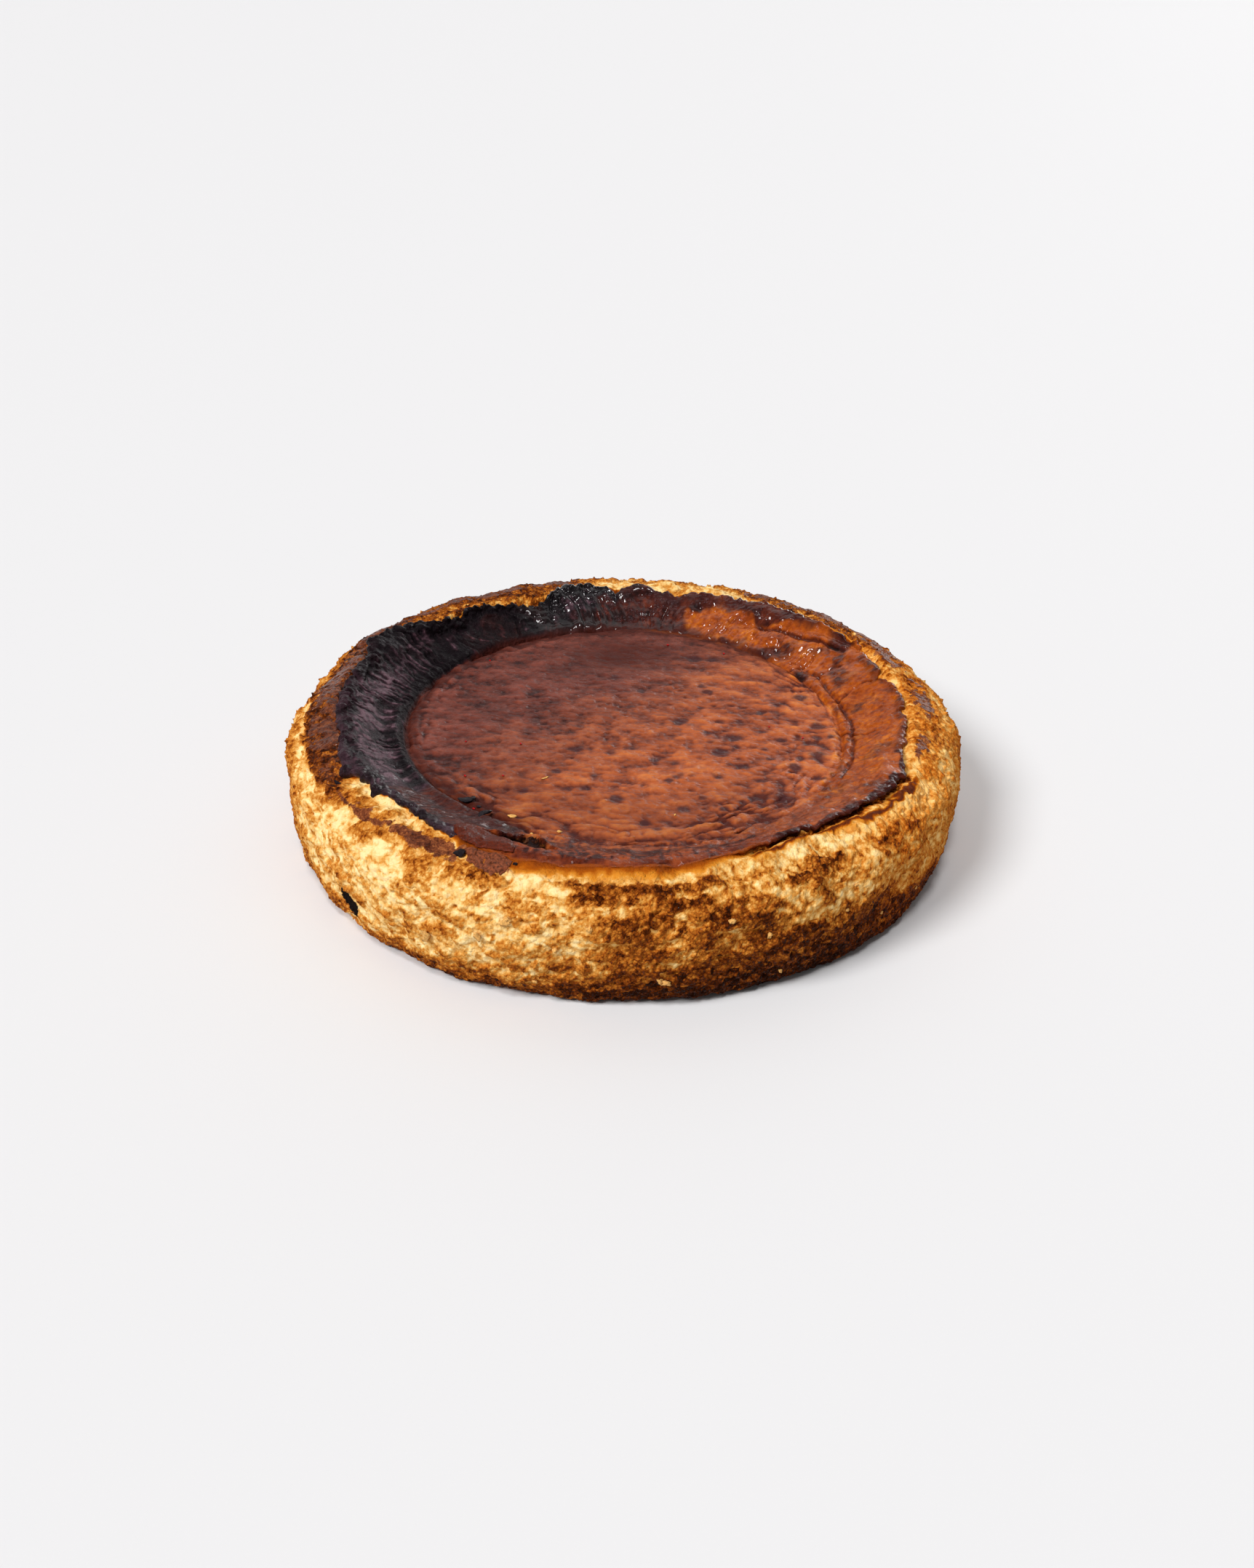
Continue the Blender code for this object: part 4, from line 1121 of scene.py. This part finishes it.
def skin_finish(name, shine, roughness, grit, tint):
    """Burnt skin: black, dark umber, wet amber or leathery purple brown to orange brown."""
    paint = Finish(name)
    fine = paint.noise(1.6, 4.0, 0.6)
    wide = paint.noise(9.0, 3.0)
    depth = paint.value("depth")
    height = depth * 0.7 + fine * 0.5 + wide * 0.24 + 0.13
    spread = (wide - 0.5) * 0.5
    plum = paint.ramp(height, [(0.15, 44, 12, 6), (0.45, 92, 40, 28), (0.85, 126, 64, 50)])
    orange = paint.ramp(height, [(0.12, 78, 28, 14), (0.36, 136, 62, 28), (0.6, 170, 84, 38),
                                 (0.9, 196, 110, 52)])
    colour = paint.over(plum, orange, "warm", 0.0, 1.0, spread)
    honey = paint.ramp(height, [(0.1, 78, 26, 6), (0.4, 142, 60, 8), (0.6, 168, 80, 10),
                                (0.85, 206, 116, 26)])
    colour = paint.over(colour, honey, "amber", 0.1, 0.8, spread)
    umber = paint.ramp(height, [(0.2, 24, 5, 3), (0.45, 54, 15, 8), (0.85, 100, 38, 14)])
    colour = paint.over(colour, umber, "umber", 0.1, 0.85, spread)
    # Darker in the hollow, and painted shade along the crease where the wall meets the top
    colour = paint.mixed(paint.value("dark_hollow_and_crease_shade") * 0.82, colour, srgb(62, 20, 10))
    spot = paint.curve(paint.value("spot") + (fine - 0.5) * 0.4, 0.02, 0.85)
    colour = paint.mixed(spot * 0.9, colour, srgb(62, 27, 26))
    rim = paint.ramp(height, [(0.28, 52, 15, 6), (0.46, 100, 38, 15), (0.7, 144, 66, 28)])
    colour = paint.over(colour, rim, "rolled", 0.1, 0.7)
    colour = paint.over(colour, srgb(138, 64, 12), "glow", 0.15, 0.9, (fine - 0.5) * 0.3)
    # The black wall's lighter purple-grey stops, reached on its fibres and middle band, are painted sheen
    char = paint.ramp(height, [(0.22, 6, 3, 5), (0.42, 24, 12, 16), (0.62, 58, 38, 45),
                               (0.82, 108, 82, 90)])
    burnt = paint.curve(paint.value("burnt") + (fine - 0.5) * 0.3, 0.25, 0.75)
    colour = paint.mixed(burnt, colour, char)
    # Inside the cave under the rim: near black to brown, painted shade over its brown crumbs
    cave = paint.ramp(fine, [(0.38, 12, 4, 3), (0.56, 44, 19, 9), (0.74, 112, 62, 22)])
    colour = paint.over(colour, cave, "cave", 0.25, 0.6)
    wet = paint.value("wet")
    rough = roughness - wet * 0.12 + (fine - 0.5) * 0.2 - depth * 0.08 + paint.value("dark_hollow_and_crease_shade") * 0.22
    dimples = paint.noise(3.2, 2.0, 0.5, (0.7, 1.2, 1.0))
    normal = paint.bump(paint.noise(0.7, 2.0) * (1 - 0.6 * wet + burnt * 0.8), 0.0003, 0.6 * grit)
    normal = paint.bump(fine * (1 - 0.5 * wet + burnt * 0.5), 0.0010, 0.7 * grit, normal)
    normal = paint.bump(dimples * (1 - 0.7 * burnt - 0.5 * wet), 0.0030, 0.6, normal)
    return paint.surface({"Base Color": colour, "Roughness": rough, "Normal": normal,
                          "Coat Weight": wet * 0.65, "Coat Roughness": 0.08,
                          "Specular IOR Level": shine, "Specular Tint": tint})


def plain_finish(name, colour, roughness, spread=0.2, grain=0.7):
    """One colour with a little fine variation."""
    paint = Finish(name)
    fine = paint.noise(0.8, 3.0)
    darker = tuple(c * (1 - spread) for c in colour[:3]) + (1.0,)
    lighter = tuple(min(c * (1 + spread), 1) for c in colour[:3]) + (1.0,)
    stops = [(0.3, darker), (0.7, lighter)]
    shade = paint.node("ShaderNodeValToRGB", {"stops": stops}, {"Fac": fine}).outputs["Color"]
    return paint.surface({"Base Color": shade, "Roughness": roughness, "Specular IOR Level": 0.2,
                          "Normal": paint.bump(fine, 0.0005, grain)})


make_crumb(crumb_finish())
make_skin(skin_finish("burnt rim", 0.16, 0.36, 1.0, (1.0, 0.74, 0.84, 1.0)),
          skin_finish("leathery top", 0.38, 0.48, 0.2, (1.0, 0.72, 0.74, 1.0)))
make_flaps(plain_finish("folded skin", srgb(84, 27, 6), 0.32, 0.45),
           plain_finish("torn skin", srgb(116, 60, 36), 0.5, 0.7))
make_loose(plain_finish("charcoal", srgb(26, 20, 24), 0.4, 0.4),
           plain_finish("pale crumb", srgb(218, 164, 92), 0.7, 0.3),
           plain_finish("red speck", srgb(170, 16, 20), 0.4, 0.1))


# Floor, light and camera

FLOOR_HALF = 9.0
FLOOR_DROP = 0.2 * MM
FLOOR_COLOUR = (0.725, 0.72, 0.727, 1.0)
WORLD_COLOUR = (1.0, 0.99, 0.985, 1.0)
WORLD_STRENGTH = 0.18

# Lights: azimuth, elevation, angle across, strength, and whether it shows in shine and on surfaces
LIGHTS = {"key": (215, 46, 24, 2.65, False, True), "overhead": (262, 70, 12, 1.15, True, True),
          "backdrop": (80, 28, 90, 0.72, True, True), "sheen": (64, 11, 24, 0.7, True, False)}

# The photograph's camera: focal length over the height of the frame, place, tilt and roll
FOCAL_SHARE = 2200 / 2156
CAMERA_PLACE = (0.0008, -0.4985, 0.3225)
CAMERA_TILT = 32.14
CAMERA_ROLL = 0.54


def make_floor():
    """A plain pale floor that reaches past the view."""
    mesh = bpy.data.meshes.new("floor")
    corners = [(x * FLOOR_HALF, y * FLOOR_HALF, 0) for x, y in ((-1, -1), (1, -1), (1, 1), (-1, 1))]
    mesh.from_pydata(corners, [], [(0, 1, 2, 3)])
    mesh.materials.append(plain_finish("pale floor", FLOOR_COLOUR, 0.8, 0.003, 0.02))
    floor = bpy.data.objects.new("floor", mesh)
    bpy.context.scene.collection.objects.link(floor)
    floor.location.z = -FLOOR_DROP


def make_light(name, azimuth, elevation, spread, strength, glossy, diffuse):
    """A far, soft, round light: its spread is its angle across as seen from the cake. One that
    isn't glossy lights the surfaces without showing in their shine, and one that isn't diffuse
    shows in their shine only."""
    lamp = bpy.data.lights.new(name, "SUN")
    lamp.angle = math.radians(spread)
    lamp.energy = strength
    light = bpy.data.objects.new(name, lamp)
    bearing, up = math.radians(azimuth), math.radians(elevation)
    out = Vector((math.cos(bearing) * math.cos(up), math.sin(bearing) * math.cos(up), math.sin(up)))
    light.location = out
    light.rotation_mode = "QUATERNION"
    light.rotation_quaternion = out.to_track_quat("Z", "Y")
    light.visible_glossy = glossy
    light.visible_diffuse = diffuse
    bpy.context.scene.collection.objects.link(light)


def make_world():
    """Even white studio light from all round."""
    world = bpy.data.worlds.new("studio")
    world.use_nodes = True
    background = world.node_tree.nodes["Background"]
    background.inputs["Color"].default_value = WORLD_COLOUR
    background.inputs["Strength"].default_value = WORLD_STRENGTH
    bpy.context.scene.world = world


def make_camera():
    """The photograph's view: about 0.6 m off, looking down, slightly rolled."""
    lens = bpy.data.cameras.new("camera")
    lens.sensor_width = 36.0
    lens.lens = lens.sensor_width * FOCAL_SHARE
    lens.clip_start = 0.01
    camera = bpy.data.objects.new("camera", lens)
    tilt, roll = math.radians(CAMERA_TILT), math.radians(CAMERA_ROLL)
    forward = Vector((0, math.cos(tilt), -math.sin(tilt)))
    level_up = Vector((0, math.sin(tilt), math.cos(tilt)))
    level_right = Vector((1, 0, 0))
    right = math.cos(roll) * level_right + math.sin(roll) * level_up
    up = math.cos(roll) * level_up - math.sin(roll) * level_right
    turn = Matrix((right, up, -forward)).transposed()
    camera.matrix_world = Matrix.Translation(CAMERA_PLACE) @ turn.to_4x4()
    bpy.context.scene.collection.objects.link(camera)
    bpy.context.scene.camera = camera


make_floor()
make_world()
for name, light in LIGHTS.items():
    make_light(name, *light)
make_camera()
bpy.context.scene.view_settings.view_transform = "Standard"
